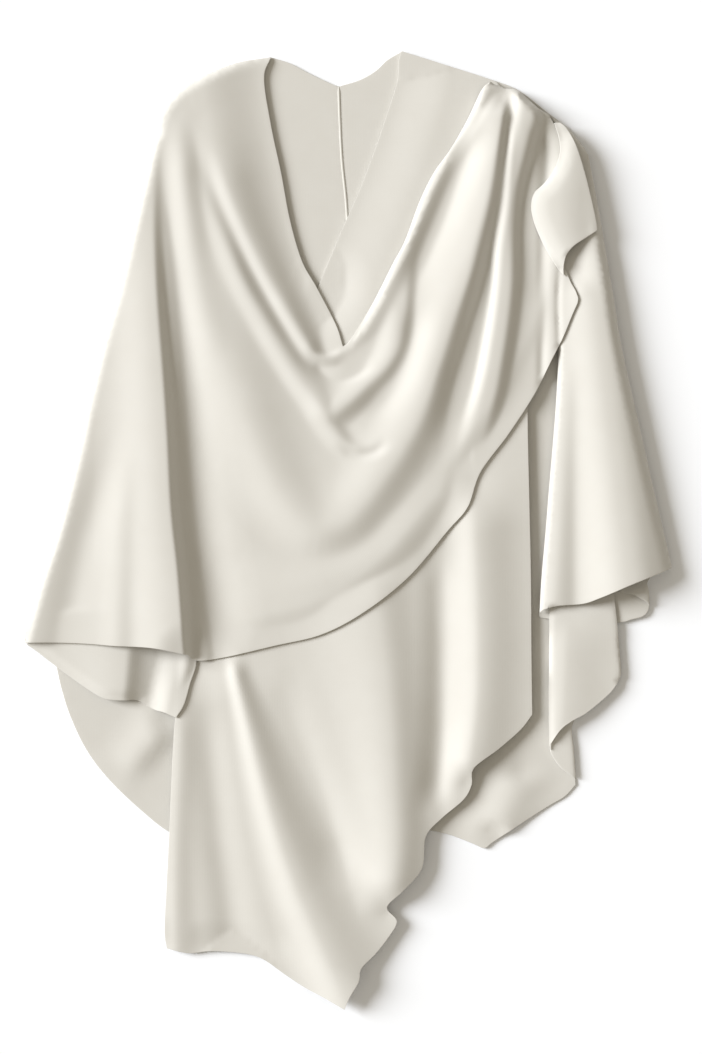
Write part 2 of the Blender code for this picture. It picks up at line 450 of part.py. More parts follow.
def points_of(name):
    """Outline and inner points of a panel, closer together where it bends more."""
    _, _, step, edges, _, _, _ = ROW[name]
    loop = outline_of(name, min(step, EDGE_STEP))
    low = loop.min(axis=0)
    high = loop.max(axis=0)
    rows = int((high[1] - low[1]) / (step * 0.866)) + 2
    columns = int((high[0] - low[0]) / step) + 2
    inner = []
    coarse = []
    for r in range(rows):
        for c in range(columns):
            inner.append((low[0] + (c + 0.5 * (r % 2)) * step, low[1] + r * step * 0.866))
            coarse.append(r % 2 == 0 and (c + r // 2) % 2 == 0)
    inner = np.array(inner)
    coarse = np.array(coarse)
    ok = inside(loop, inner) & (edge_distance(loop, inner) > 0.6 * step)
    ok[ok] &= coarse[ok] | (bend(name, inner[ok], step) > BEND_LIMIT)
    for panel, cover, depth in COVERED:
        if panel == name:
            hide = outline_of(cover, 11.0)
            ok &= coarse | ~(inside(hide, inner) & (edge_distance(hide, inner) > depth))
    rows = [np.zeros((0, 2))]
    for table, kind, _, reach in edges:
        if kind != "fold":
            continue
        for share in (0.14, 0.5, 1.1):
            rows.append(offset_row(table, loop, reach * share, EDGE_STEP))
    for fold in ROW[name][4] + ROW[name][5]:
        if min(fold[3:7]) <= NARROW_REACH:
            rows += ridge_rows(fold, loop)
    rows = keep_apart(np.vstack(rows), 0.3 * step)
    inner = inner[ok]
    if len(rows):
        gap = np.min(np.linalg.norm(inner[:, None] - rows[None], axis=2), axis=1)
        inner = np.vstack([inner[gap > 0.55 * min(step, 11.0)], rows])
    return loop, inner


def ridge_rows(fold, loop):
    """Points along the top and both flanks of a narrow fold, inside the outline."""
    line = spline(fold[10], RIDGE_STEP)
    tangent = np.gradient(line, axis=0)
    tangent /= np.linalg.norm(tangent, axis=1)[:, None] + 1e-12
    left = np.stack([-tangent[:, 1], tangent[:, 0]], axis=1)
    share = np.linspace(0.0, 1.0, len(line))[:, None]
    left_reach = fold[3] + (fold[4] - fold[3]) * share
    right_reach = fold[5] + (fold[6] - fold[5]) * share
    rows = []
    for row in (line, line + 0.9 * left_reach * left, line - 0.9 * right_reach * left):
        good = inside(loop, row) & (edge_distance(loop, row) > 0.45 * RIDGE_STEP)
        rows.append(row[good])
    return rows


def keep_apart(points, gap):
    """The points in their order, without any that lies too close to an earlier one."""
    kept = []
    for point in points:
        if not kept or np.min(np.linalg.norm(np.array(kept) - point, axis=1)) > gap:
            kept.append(point)
    return np.array(kept).reshape(-1, 2)


def offset_row(table, loop, depth, spacing):
    """Points a set depth inside the outline, alongside one edge."""
    line = spline(table, spacing)[1:-1]
    if len(line) < 2:
        return np.zeros((0, 2))
    tangent = np.gradient(line, axis=0)
    tangent /= np.linalg.norm(tangent, axis=1)[:, None] + 1e-12
    normal = np.stack([-tangent[:, 1], tangent[:, 0]], axis=1)
    for sign in (1.0, -1.0):
        row = line + sign * depth * normal
        if inside(loop, row).mean() > 0.5:
            good = inside(loop, row) & (edge_distance(loop, row) > 0.85 * depth)
            return row[good]
    return np.zeros((0, 2))


def shift_seam(name, loop):
    """Part the two back halves at the centre seam."""
    line = spline(CENTRE_SEAM, EDGE_STEP)
    near = nearest(line, loop)[0] < 0.5
    move = -0.5 * SEAM_GAP if name == "back_left_half" else 0.5 * SEAM_GAP
    loop = loop.copy()
    loop[near, 0] += move
    return loop


def build_panel(name, material):
    """One closed wall of cloth from a panel's row."""
    loop, inner = points_of(name)
    if any(kind == "seam" for _, kind, _, _ in ROW[name][3]):
        loop = shift_seam(name, loop)
    flat = [Vector((x, y)) for x, y in np.vstack([loop, inner])]
    found = delaunay_2d_cdt(flat, [], [list(range(len(loop)))], 1, 1e-6)
    xy = np.array([(v.x, v.y) for v in found[0]])
    z = relief(name, xy)
    mesh = bpy.data.meshes.new(name)
    mesh.from_pydata([(x * MM, y * MM, h * MM) for (x, y), h in zip(xy, z)], [],
                     [list(f) for f in found[2]])
    bm = bmesh.new()
    bm.from_mesh(mesh)
    bmesh.ops.recalc_face_normals(bm, faces=bm.faces[:])
    bm.normal_update()
    upright = np.array([abs(v.normal.z) for v in bm.verts])
    below = underside(name, xy, z, upright)
    tag = bm.verts.layers.int.new("row")
    for i, vert in enumerate(bm.verts):
        vert[tag] = i
    made = bmesh.ops.extrude_face_region(bm, geom=bm.faces[:])
    for item in made["geom"]:
        if isinstance(item, bmesh.types.BMVert):
            item.co.z = below[item[tag]] * MM
    bmesh.ops.recalc_face_normals(bm, faces=bm.faces[:])
    bm.to_mesh(mesh)
    bm.free()
    for face in mesh.polygons:
        face.use_smooth = True
    mesh.set_sharp_from_angle(angle=math.radians(62.0))
    mesh.materials.append(material)
    piece = bpy.data.objects.new(name, mesh)
    bpy.data.collections["shawl_wrap"].objects.link(piece)
    return piece


def cloth_material(name, colour):
    """A plain rough material in one colour."""
    material = bpy.data.materials.new(name)
    material.use_nodes = True
    shader = material.node_tree.nodes["Principled BSDF"]
    shader.inputs["Base Color"].default_value = colour
    shader.inputs["Roughness"].default_value = 0.9
    return material


def main():
    """Clear the scene and build every panel."""
    for item in list(bpy.data.objects):
        bpy.data.objects.remove(item, do_unlink=True)
    group = bpy.data.collections.new("shawl_wrap")
    bpy.context.scene.collection.children.link(group)
    for row in PANELS:
        material = cloth_material(row[0] + "_cloth", PALETTE["ivory_cloth"])
        build_panel(row[0], material)


main()
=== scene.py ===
"""A cream shawl wrap laid flat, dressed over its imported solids.

Two lengths of double-faced cloth are joined at the centre back. One falls as the lower
front; the other is thrown across the body in a draped cowl and gathered on the opposite
shoulder. Every panel is a thin shell on its solid's form, with finer folds, turned edges
and the sewing of the back seam. Tables are in millimetres: X right, Y to the neck, Z up.
"""

from __future__ import annotations

import logging
import math
from dataclasses import dataclass, field
from enum import Enum
from functools import lru_cache

import bmesh
import bpy
import numpy as np
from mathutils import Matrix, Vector
from mathutils.geometry import delaunay_2d_cdt

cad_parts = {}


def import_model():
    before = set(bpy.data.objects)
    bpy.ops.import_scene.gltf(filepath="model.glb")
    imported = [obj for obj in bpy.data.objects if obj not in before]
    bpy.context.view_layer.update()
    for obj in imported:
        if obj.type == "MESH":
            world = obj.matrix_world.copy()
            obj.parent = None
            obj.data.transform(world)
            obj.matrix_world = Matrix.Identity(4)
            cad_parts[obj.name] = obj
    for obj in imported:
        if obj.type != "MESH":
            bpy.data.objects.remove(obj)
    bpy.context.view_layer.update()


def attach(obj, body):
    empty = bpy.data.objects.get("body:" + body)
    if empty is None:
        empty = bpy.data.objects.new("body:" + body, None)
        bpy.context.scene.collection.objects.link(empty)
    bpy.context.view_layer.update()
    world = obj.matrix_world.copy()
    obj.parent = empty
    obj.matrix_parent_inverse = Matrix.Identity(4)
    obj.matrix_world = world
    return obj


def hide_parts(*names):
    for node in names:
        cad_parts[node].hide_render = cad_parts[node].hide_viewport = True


LOG = logging.getLogger("shawl_wrap")

MM = 0.001
WALL = 1.8            # thickness of the cloth
SEAM_GAP = 0.3        # between the two back halves
REST_GAP = 0.4        # between cloth that lies flat on cloth
FOLD_RADIUS = 6.5     # round of a folded side
NECK_SLOPE = 66.0     # how far the cowl falls away toward its neck edge
HEM_DROP = 36.0       # how far in a hem starts to come down to what it lies on
BELL_CUT = 0.03       # share of a fold's height below which it ends
LAYER = WALL + REST_GAP
BACK_TOP = WALL
FIRST_LAYER = BACK_TOP + LAYER
SECOND_LAYER = FIRST_LAYER + LAYER
FOLD_GAP = 0.8        # least gap between layers where either is curved
BELL_REACH = 2.4      # a fold ends within this many reaches of its route
ROUTE_STEP = 6.0      # spacing of the points along a fold's route
BEND_EASE = 0.3       # share of the distance over which the two arms of a bend blend

# Edges, one short table each. Columns: x, y.
NECK_LEFT_CORNER = (-80.9, 497.7)
NECK_BACK_LEFT = ((-80.9, 497.7), (-60.9, 491.4), (-43.1, 482), (-18.9, 470.4), (-10.1, 467.2))
NECK_BACK_RIGHT = ((-9.7, 467.2), (11.6, 473.6), (28.4, 483), (41, 494.6), (56.7, 504))
CENTRE_SEAM = ((-9.9, 467.2), (-8.4, 425.2), (-6.3, 387.4), (-1.1, 330.8), (1.1, 240.5), (2.1, 72.5), (2.1,
    -116.6), (2.1, -332.9))
LEFT_SHOULDER = ((-80.9, 497.7), (-117.6, 491.4), (-154.3, 476.7), (-181.7, 459.9), (-197.4, 440), (-202.7,
    417.9))
LEFT_SIDE = ((-202.7, 417.9), (-216.3, 363.3), (-228.9, 312.9), (-243.6, 251), (-259.4, 194.2), (-273,
    137.6), (-285.6, 79.8), (-305.6, 2.1), (-324.4, -55.7), (-342.3, -119.7))
RIGHT_SHOULDER = ((56.7, 504), (102.9, 489.3), (150.2, 474.6), (179.6, 463.1), (210, 440), (228.9, 425.2),
                  (246.8, 405.3), (253.1, 393.8))
RIGHT_SIDE = ((253.1, 393.8), (264.6, 332.9), (279.3, 246.8), (288.8, 189), (308.7, 100.8), (323.4, 35.7),
              (336, -17.9), (341.2, -41))
BACK_HEM_LEFT = ((2.1, -332.9), (-50.4, -339.2), (-113.4, -334.9), (-155.4, -328.7), (-188, -320.2),
                 (-220.5, -295.1), (-253.1, -263.6), (-276.2, -233.1), (-292.9, -198.5), (-302.4, -169.1),
                 (-307.7, -146))
BACK_HEM_RIGHT = ((240.5, -269.9), (228.9, -282.4), (211.1, -292.9), (179.6, -312.9), (151.2, -331.8),
                  (143.8, -337.1), (131.2, -331.8), (101.9, -321.3), (75.6, -318.2), (38.9, -326.6), (2.1,
                      -332.9))

SLEEVE_HEM = ((-342.3, -119.7), (-309.8, -119.7), (-275.1, -120.8), (-245.7, -122.9), (-204.8, -125),
              (-168, -132.3))
COWL_HEM = ((-168, -132.3), (-159.6, -138.6), (-131.2, -135.5), (-76.7, -122.9), (-28.4, -111.3), (15.8,
    -88.2), (64, -50.4), (105, -2.1),
            (126, 23.1), (139.7, 59.9), (169.1, 99.8), (196.3, 141.8), (214.2, 177.5), (225.8, 200.6),
            (235.2, 223.7), (241, 237.3), (241.5, 242.6))
THROWN_END = ((241.5, 242.6), (238.4, 251), (233.1, 261.4), (225.8, 284.6), (228.9, 319.2), (233.1, 355.9),
              (228.9, 397.9), (218.4, 422.1), (211.1, 435.8))
PLEAT_TOPS = ((211.1, 435.8), (202.7, 441), (179.6, 461), (164.8, 464.1), (157.5, 467.2), (150.2, 470.4))
ROLL_EDGE = ((150.2, 470.4), (140.7, 462), (125, 429.5), (108.2, 400.1), (90.3, 374.9), (75.6, 345.4),
             (59.9, 303.4), (47.2, 279.3),
             (24.2, 234.2), (2.1, 198.5), (-5.2, 192.2))
COWL_NECK = ((-5.2, 192.2), (-12.6, 215.2), (-32.6, 254.1), (-48.3, 282.4), (-60.9, 325.5), (-70.4, 375.9),
             (-80.9, 425.2), (-88.2, 474.6), (-80.9, 497.7))

FRONT_NECK = ((56.7, 504), (53.6, 494.6), (52.5, 474.6), (45.1, 449.4), (28.4, 400.1), (11.6, 355.9),
              (-8.4, 310.8), (-32, 254.1))
FRONT_LEFT_HIDDEN = ((-32, 254.1), (-79.8, 135.5), (-128.1, -11.6), (-165.9, -132.3))
FRONT_LEFT_EDGE = ((-165.9, -132.3), (-170.1, -146), (-181.7, -197.4), (-188, -318.2), (-191.1, -379.1),
                   (-193.2, -424.2), (-191.1, -442.1))
FRONT_HEM = ((-191.1, -442.1), (-168, -447.3), (-147, -445.2), (-121.8, -446.2), (-100.8, -449.4), (-86.1,
    -455.7), (-67.2, -469.4), (-46.2, -483), (-25.2, -493.5), (-3.7, -505.1))
FRONT_CASCADE = ((-3.7, -505.1), (2.1, -491.4), (11.6, -474.6), (13.7, -462), (28.4, -447.3), (42, -430.5),
                 (51.5, -412.7), (41, -397.9),
                 (57.8, -380.1), (77.7, -357), (81.9, -323.4), (98.7, -304.5), (121.8, -284.6), (130.2,
                     -268.8), (132.3, -251), (158.6, -231), (181.7, -211.1), (193.9, -195.3))
FRONT_RIGHT_EDGE = ((193.9, -195.3), (193.2, -137.6), (192.2, -32.6), (189, 127.1), (189, 292.9), (185.8,
    431.6), (174.3, 457.8))
FRONT_SHOULDER = ((174.3, 457.8), (159.6, 468.3), (150.2, 474.1), (102.9, 489.3), (56.7, 504))

SLEEVE_BACK_HEM = ((-339.2, -121.8), (-329.7, -128.1), (-307.7, -144.9), (-275.1, -168), (-256.2, -178.5),
                   (-237.3, -180.6), (-222.6, -180.6), (-204.8, -190.1), (-193.2, -193.2), (-180.6, -198.5))
SLEEVE_BACK_BAND = ((-180.6, -198.5), (-172.2, -184.8), (-165.9, -162.8), (-159.6, -140.7), (-163.8,
    -116.6), (-168, -97.7))
SLEEVE_BACK_TOP = ((-168, -97.7), (-228.9, -93.5), (-291.9, -97.7), (-323.4, -106.1), (-339.2, -121.8))

DRAPE_SHOULDER = ((214.2, 433.7), (228.9, 425.2), (246.8, 405.3), (253.1, 393.8))
DRAPE_HEM = ((341.2, -41), (325.5, -47.2), (296.1, -58.8), (264.6, -72.5), (246.8, -78.8), (220.5, -80.9),
             (205.8, -85), (201.6, -88.2))
DRAPE_EDGE = ((201.6, -88.2), (203.7, -52.5), (207.9, -4.2), (211.1, 35.7), (218.4, 123.9), (221.6, 189),
              (220.5, 240.5), (223.7, 287.7), (228.9, 345.4), (227.9, 403.2), (214.2, 433.7))

UPPER_FOLD_SIDE = ((212.1, -72.5), (212.1, -127.1), (211.6, -179.6), (212.1, -232.1))
UPPER_FOLD_HEM = ((212.1, -232.1), (213.2, -226.8), (223.7, -211.1), (236.2, -201.6), (249.9, -194.2),
                  (265.7, -181.7), (277.2, -171.2), (284.6, -160.7))
UPPER_FOLD_RIGHT = ((284.6, -160.7), (287.7, -150.2), (284.6, -112.4), (282.4, -89.2), (279.3, -64))
UPPER_FOLD_TOP = ((279.3, -64), (243.6, -64), (212.1, -72.5))

UNDER_FOLD_HEM = ((214.2, -216.3), (213.2, -233.1), (217.4, -242.6), (225.8, -253.1), (240.5, -263.6))
UNDER_FOLD_SIDE = ((240.5, -263.6), (238.4, -233.1), (236.2, -205.8), (243.6, -183.8))
UNDER_FOLD_TOP = ((243.6, -183.8), (227.9, -169.1), (214.2, -169.1), (214.2, -216.3))

ROLL_FRONT_HEM = ((284.6, -66.2), (299.2, -68.8), (308.7, -73.5), (315, -77.7), (317.6, -80.9))
ROLL_FRONT_SIDE = ((317.6, -80.9), (317.1, -66.2), (313.9, -52.5))
ROLL_FRONT_TOP = ((313.9, -52.5), (300.3, -53.6), (284.6, -66.2))
SLEEVE_UNDER_HEM = ((202.7, -80.9), (201.6, -91.4), (205.8, -94), (213.2, -95), (248.9, -100.8), (286.7,
    -98.7), (299.2, -95.5),
                    (310.8, -92.4), (316.1, -87.2), (318.2, -78.8))
SLEEVE_UNDER_SIDE = ((318.2, -78.8), (316.1, -66.2), (313.9, -52.5))
SLEEVE_UNDER_TOP = ((313.9, -52.5), (290.9, -57.8), (254.1, -66.2), (222.6, -72.5), (202.7, -80.9))

CASCADE_LEFT = ((216.3, 426.3), (220.5, 413.7), (222.6, 402.2), (221.6, 390.6), (215.2, 374.9), (204.8,
    362.2), (196.3, 353.9), (192.7, 343.4),
                (193.2, 330.8), (198.5, 313.9), (207.9, 294), (218.4, 276.2), (226.8, 265.7))
CASCADE_HEM = ((226.8, 265.7), (226.3, 275.1), (228.9, 286.7), (236.2, 296.1), (247.8, 304), (261.4, 312.9))
CASCADE_RIGHT = ((261.4, 313.9), (260.4, 323.4), (254.1, 351.8), (245.7, 383.2), (238.4, 404.2), (230,
    420), (222.6, 426.3), (216.3, 426.3))

# Folds. Columns: name, rise at its head, rise at its tail, reach on the left hand of
# its route at head and tail, reach on the right hand at head and tail, share of the
# length over which head and tail fade, flatness of its top (2 is round), route.
COWL_FOLDS = (
    ("cowl_roll_left", 4, 6, 30, 9, 18, 13, 0.3, 0.13, 2,
     ((-155.4, 431.6), (-135.5, 387.4), (-117.6, 338.1), (-92.4, 284.6), (-68.2, 237.3), (-46.2, 198.5),
      (-31.5, 182.7), (-14.7, 179.6))),
    ("cowl_roll_right", 6, 5.5, 5, 9, 15, 15, 0.13, 0.05, 2,
     ((-54.6, 210), (-45.1, 195.3), (-31.5, 181.7), (-16.8, 180.6), (-5.2, 188), (9.5, 201.6), (33.6,
         238.4), (54.6, 280.4), (70.4, 312.9),
      (96.6, 369.6), (130.2, 424.2), (146, 453.6))),
    ("second_roll", 5.5, 5.5, 14, 26, 20, 8, 0.3, 0.35, 2,
     ((-159.6, 397.9), (-147, 370.7), (-115.5, 271.9), (-88.2, 218.4), (-74.5, 194.2), (-57.8, 170.1),
      (-37.8, 143.8), (-19.9, 122.9), (-3.2, 131.2),
      (18.9, 152.2), (41, 172.2), (53.6, 193.2), (58.8, 224.7), (63, 271.9), (74.5, 319.2), (93.5, 366.4))),
    ("third_scoop", 4, 4, 9, 10, 14, 14, 0.35, 0.3, 2,
     ((-45.1, 151.2), (-28.4, 126), (-14.7, 104), (0, 87.2), (17.9, 81.9), (37.8, 87.2))),
    ("long_ridge", 4, 13, 36, 34, 40, 11, 0.25, 0.03, 2,
     ((-170.1, 355.9), (-152.2, 276.2), (-137.6, 214.2), (-117.6, 164.8), (-94.5, 93.5), (-68.2, 38.9),
      (-34.6, 3.2), (-4.2, 7.4), (18.9, 30.5),
      (42, 62), (62, 92.4), (79.8, 127.1), (93.5, 172.2), (112.4, 228.9), (135.5, 288.8), (152.2, 350.7),
      (160.7, 408.5), (162.8, 455.7))),
    ("shoulder_pleat", 9, 7, 16, 14, 17, 15, 0.03, 0.35, 4,
     ((191.1, 452.6), (183.8, 413.7), (174.3, 376.9), (169.6, 340.2), (165.9, 298.2), (163.8, 251), (157.5,
         198.5), (146, 135.5), (126, 67.2))),
    ("left_shoulder_ridge", 4, 5, 12, 26, 12, 24, 0.25, 0.4, 2,
     ((-178.5, 437.9), (-175.3, 400.1), (-169.1, 325.5), (-158.6, 251), (-142.8, 189), (-128.1, 125))),
    ("sleeve_fold", 5, 14, 7, 7, 30, 58, 0.35, 0.02, 2.4,
     ((-203.7, 397.9), (-205.8, 334.9), (-202.7, 266.7), (-198.5, 209), (-194.2, 156.5), (-190.1, 96.6),
      (-185.8, 18.9), (-178.5, -48.3), (-172.2, -132.3), (-170.1, -160.7))),
    ("sleeve_ridge", 3, 5, 14, 20, 14, 20, 0.5, 0.02, 2,
     ((-218.4, 135.5), (-228.9, 72.5), (-235.2, -1.1), (-239.4, -127.1), (-240.5, -155.4))),
    ("hem_swell", 4, 4, 30, 30, 40, 30, 0.4, 0.4, 2,
     ((-113.4, -32.6), (-60.9, -58.8), (2.1, -48.3), (65.1, -1.1), (107.1, 62))),
)
BACK_LEFT_FOLDS = (
    ("back_curve_swell", 5, 3, 13, 15, 24, 20, 0.3, 0.5, 2,
     ((-191.1, -202.7), (-207.9, -225.8), (-227.9, -247.8), (-247.8, -265.7))),
)
BACK_RIGHT_FOLDS = (
    ("back_corner_swell", 4, 5, 24, 24, 24, 24, 0.3, 0.2, 2,
     ((182.7, -255.2), (172.2, -284.6), (156.5, -318.2))),
)
COWL_CREASES = (
    ("sleeve_valley", 2, 4, 14, 22, 14, 22, 0.5, 0.02, 2,
     ((-241.5, 114.5), (-260.4, 51.5), (-277.2, -11.6), (-289.8, -74.5), (-298.2, -127.1), (-302.4,
         -154.3))),
    ("side_valley", 2, 7, 14, 34, 8, 11, 0.2, 0.02, 2,
     ((-193.2, 412.7), (-189, 350.7), (-179.6, 276.2), (-173.2, 201.6), (-169.1, 135.5), (-164.8, 59.9),
      (-157.5, -12.6), (-149.1, -72.5), (-141.8, -132.3), (-137.6, -162.8))),
    ("pleat_valley", 5, 8, 3, 13, 3, 18, 0.15, 0.3, 2,
     ((169.1, 450.5), (164.8, 397.9), (158.6, 342.3), (149.1, 292.9), (140.7, 235.2), (126, 172.2), (109.2,
         125), (90.3, 83))),
    ("cowl_pocket", 3, 4, 14, 14, 14, 14, 0.3, 0.3, 2,
     ((12.6, 109.2), (31.5, 127.1), (50.4, 151.2), (65.1, 188), (75.6, 240.5))),
    ("roll_valley", 3, 5, 15, 22, 15, 15, 0.3, 0.2, 2,
     ((59.9, 240.5), (79.8, 292.9), (96.6, 329.7), (113.4, 371.7), (134.4, 419))),
    ("inner_valley", 2.5, 2.5, 8, 8, 8, 8, 0.3, 0.4, 2,
     ((-151.2, 397.9), (-142.8, 366.4), (-128.1, 327.6), (-105, 276.2), (-80.9, 234.2), (-54.6, 194.2),
      (-37.8, 173.2), (-10.5, 162.8), (14.7, 164.8))),
    ("cascade_valley", 4, 3, 12, 20, 12, 20, 0.1, 0.4, 2,
     ((206.9, 419), (201.6, 387.4), (193.2, 355.9), (191.1, 319.2), (197.4, 271.9))),
)
FRONT_FOLDS = (
    ("left_edge_ridge", 2, 2, 12, 14, 9, 9, 0.25, 0.1, 2,
     ((-172.2, -158.6), (-176.4, -200.6), (-177.5, -257.2), (-180.6, -347.6), (-180.6, -478.8))),
    ("first_ridge", 4, 11, 8, 48, 5, 30, 0.06, 0.04, 2,
     ((-123.9, -131.2), (-117.6, -156.5), (-107.1, -196.3), (-91.4, -257.2), (-73.5, -318.2), (-52.5,
         -378), (-31.5, -424.2), (-6.3, -484.1), (10.5, -526.1))),
    ("middle_ridge", 7, 11, 34, 26, 62, 26, 0.15, 0.12, 2,
     ((18.9, -32.6), (31.5, -95.5), (42, -179.6), (47.2, -263.6), (50.4, -337.1), (42, -405.3))),
    ("right_ridge", 7, 8, 36, 34, 20, 17, 0.2, 0.1, 2,
     ((132.3, 51.5), (136.5, -32.6), (138.6, -116.6), (136.5, -190.1), (125, -268.8))),
)
FRONT_CREASES = (
    ("left_trough", 2, 3.5, 14, 22, 14, 18, 0.3, 0.08, 2,
     ((-149.1, -146), (-144.9, -221.6), (-135.5, -316.1), (-123.9, -400.1), (-113.4, -505.1))),
    ("middle_trough", 2, 4, 20, 16, 26, 22, 0.25, 0.25, 2,
     ((-75.6, -150.2), (-50.4, -226.8), (-18.9, -310.8), (4.2, -379.1))),
    ("right_trough", 3.5, 4.5, 15, 12, 15, 14, 0.2, 0.15, 2,
     ((96.6, -16.8), (98.7, -116.6), (96.6, -221.6), (89.2, -300.3))),
)
DRAPE_FOLDS = (
    ("arm_swell", 6, 16, 24, 44, 26, 44, 0.25, 0.02, 2.4,
     ((243.6, 392.7), (254.1, 313.9), (264.6, 219.5), (276.2, 114.5), (286.7, 30.5), (296.1, -58.8),
      (299.2, -87.2))),
    ("inner_ridge", 3, 4, 12, 20, 12, 16, 0.3, 0.02, 2,
     ((235.2, 209), (231, 114.5), (224.7, 9.5), (218.4, -83))),
)
DRAPE_CREASES = (
    ("under_cascade", 3, 4, 12, 14, 16, 16, 0.2, 0.3, 2,
     ((228.9, 334.9), (235.2, 308.7), (241.5, 280.4), (245.7, 248.9))),
)
CASCADE_FOLDS = (
    ("cascade_roll", 3, 6, 30, 30, 30, 30, 0.15, 0.05, 2,
     ((228.9, 416.9), (231, 392.7), (228.9, 361.2), (225.8, 340.2), (228.9, 313.9), (237.3, 290.9))),
)
BAND_FOLDS = (
    ("band", 3, 3.5, 7, 7, 9, 9, 0.1, 0.05, 2,
     ((-169.1, -116.6), (-170.1, -141.8), (-177.5, -169.1), (-186.9, -192.2))),
    ("sleeve_back_swell", 5, 7, 13, 12, 52, 48, 0.05, 0.05, 2,
     ((-232.1, -95.5), (-233.1, -132.3), (-237.3, -181.7), (-240.5, -213.2))),
)
BAND_CREASES = (
    ("band_valley", 2, 3, 8, 8, 14, 14, 0.1, 0.02, 2,
     ((-194.2, -116.6), (-199.5, -148.1), (-203.7, -181.7))),
)
UPPER_FOLDS = (
    ("upper_swell", 3, 4, 34, 34, 16, 16, 0.3, 0.1, 2,
     ((232.1, -85), (231, -137.6), (227.9, -195.3), (224.7, -247.8))),
)
BACK_SIDE_LEFT = ((-342.3, -119.7), (-323.4, -127.1), (-307.7, -146))
BACK_SIDE_RIGHT = ((341.2, -41), (319.2, -51.5), (313.9, -66.2), (310.8, -85), (284.6, -94.5), (281.4,
    -127.1), (280.4, -158.6), (264.6, -179.6),
                   (238.4, -202.7), (237.3, -232.1), (240.5, -269.9))

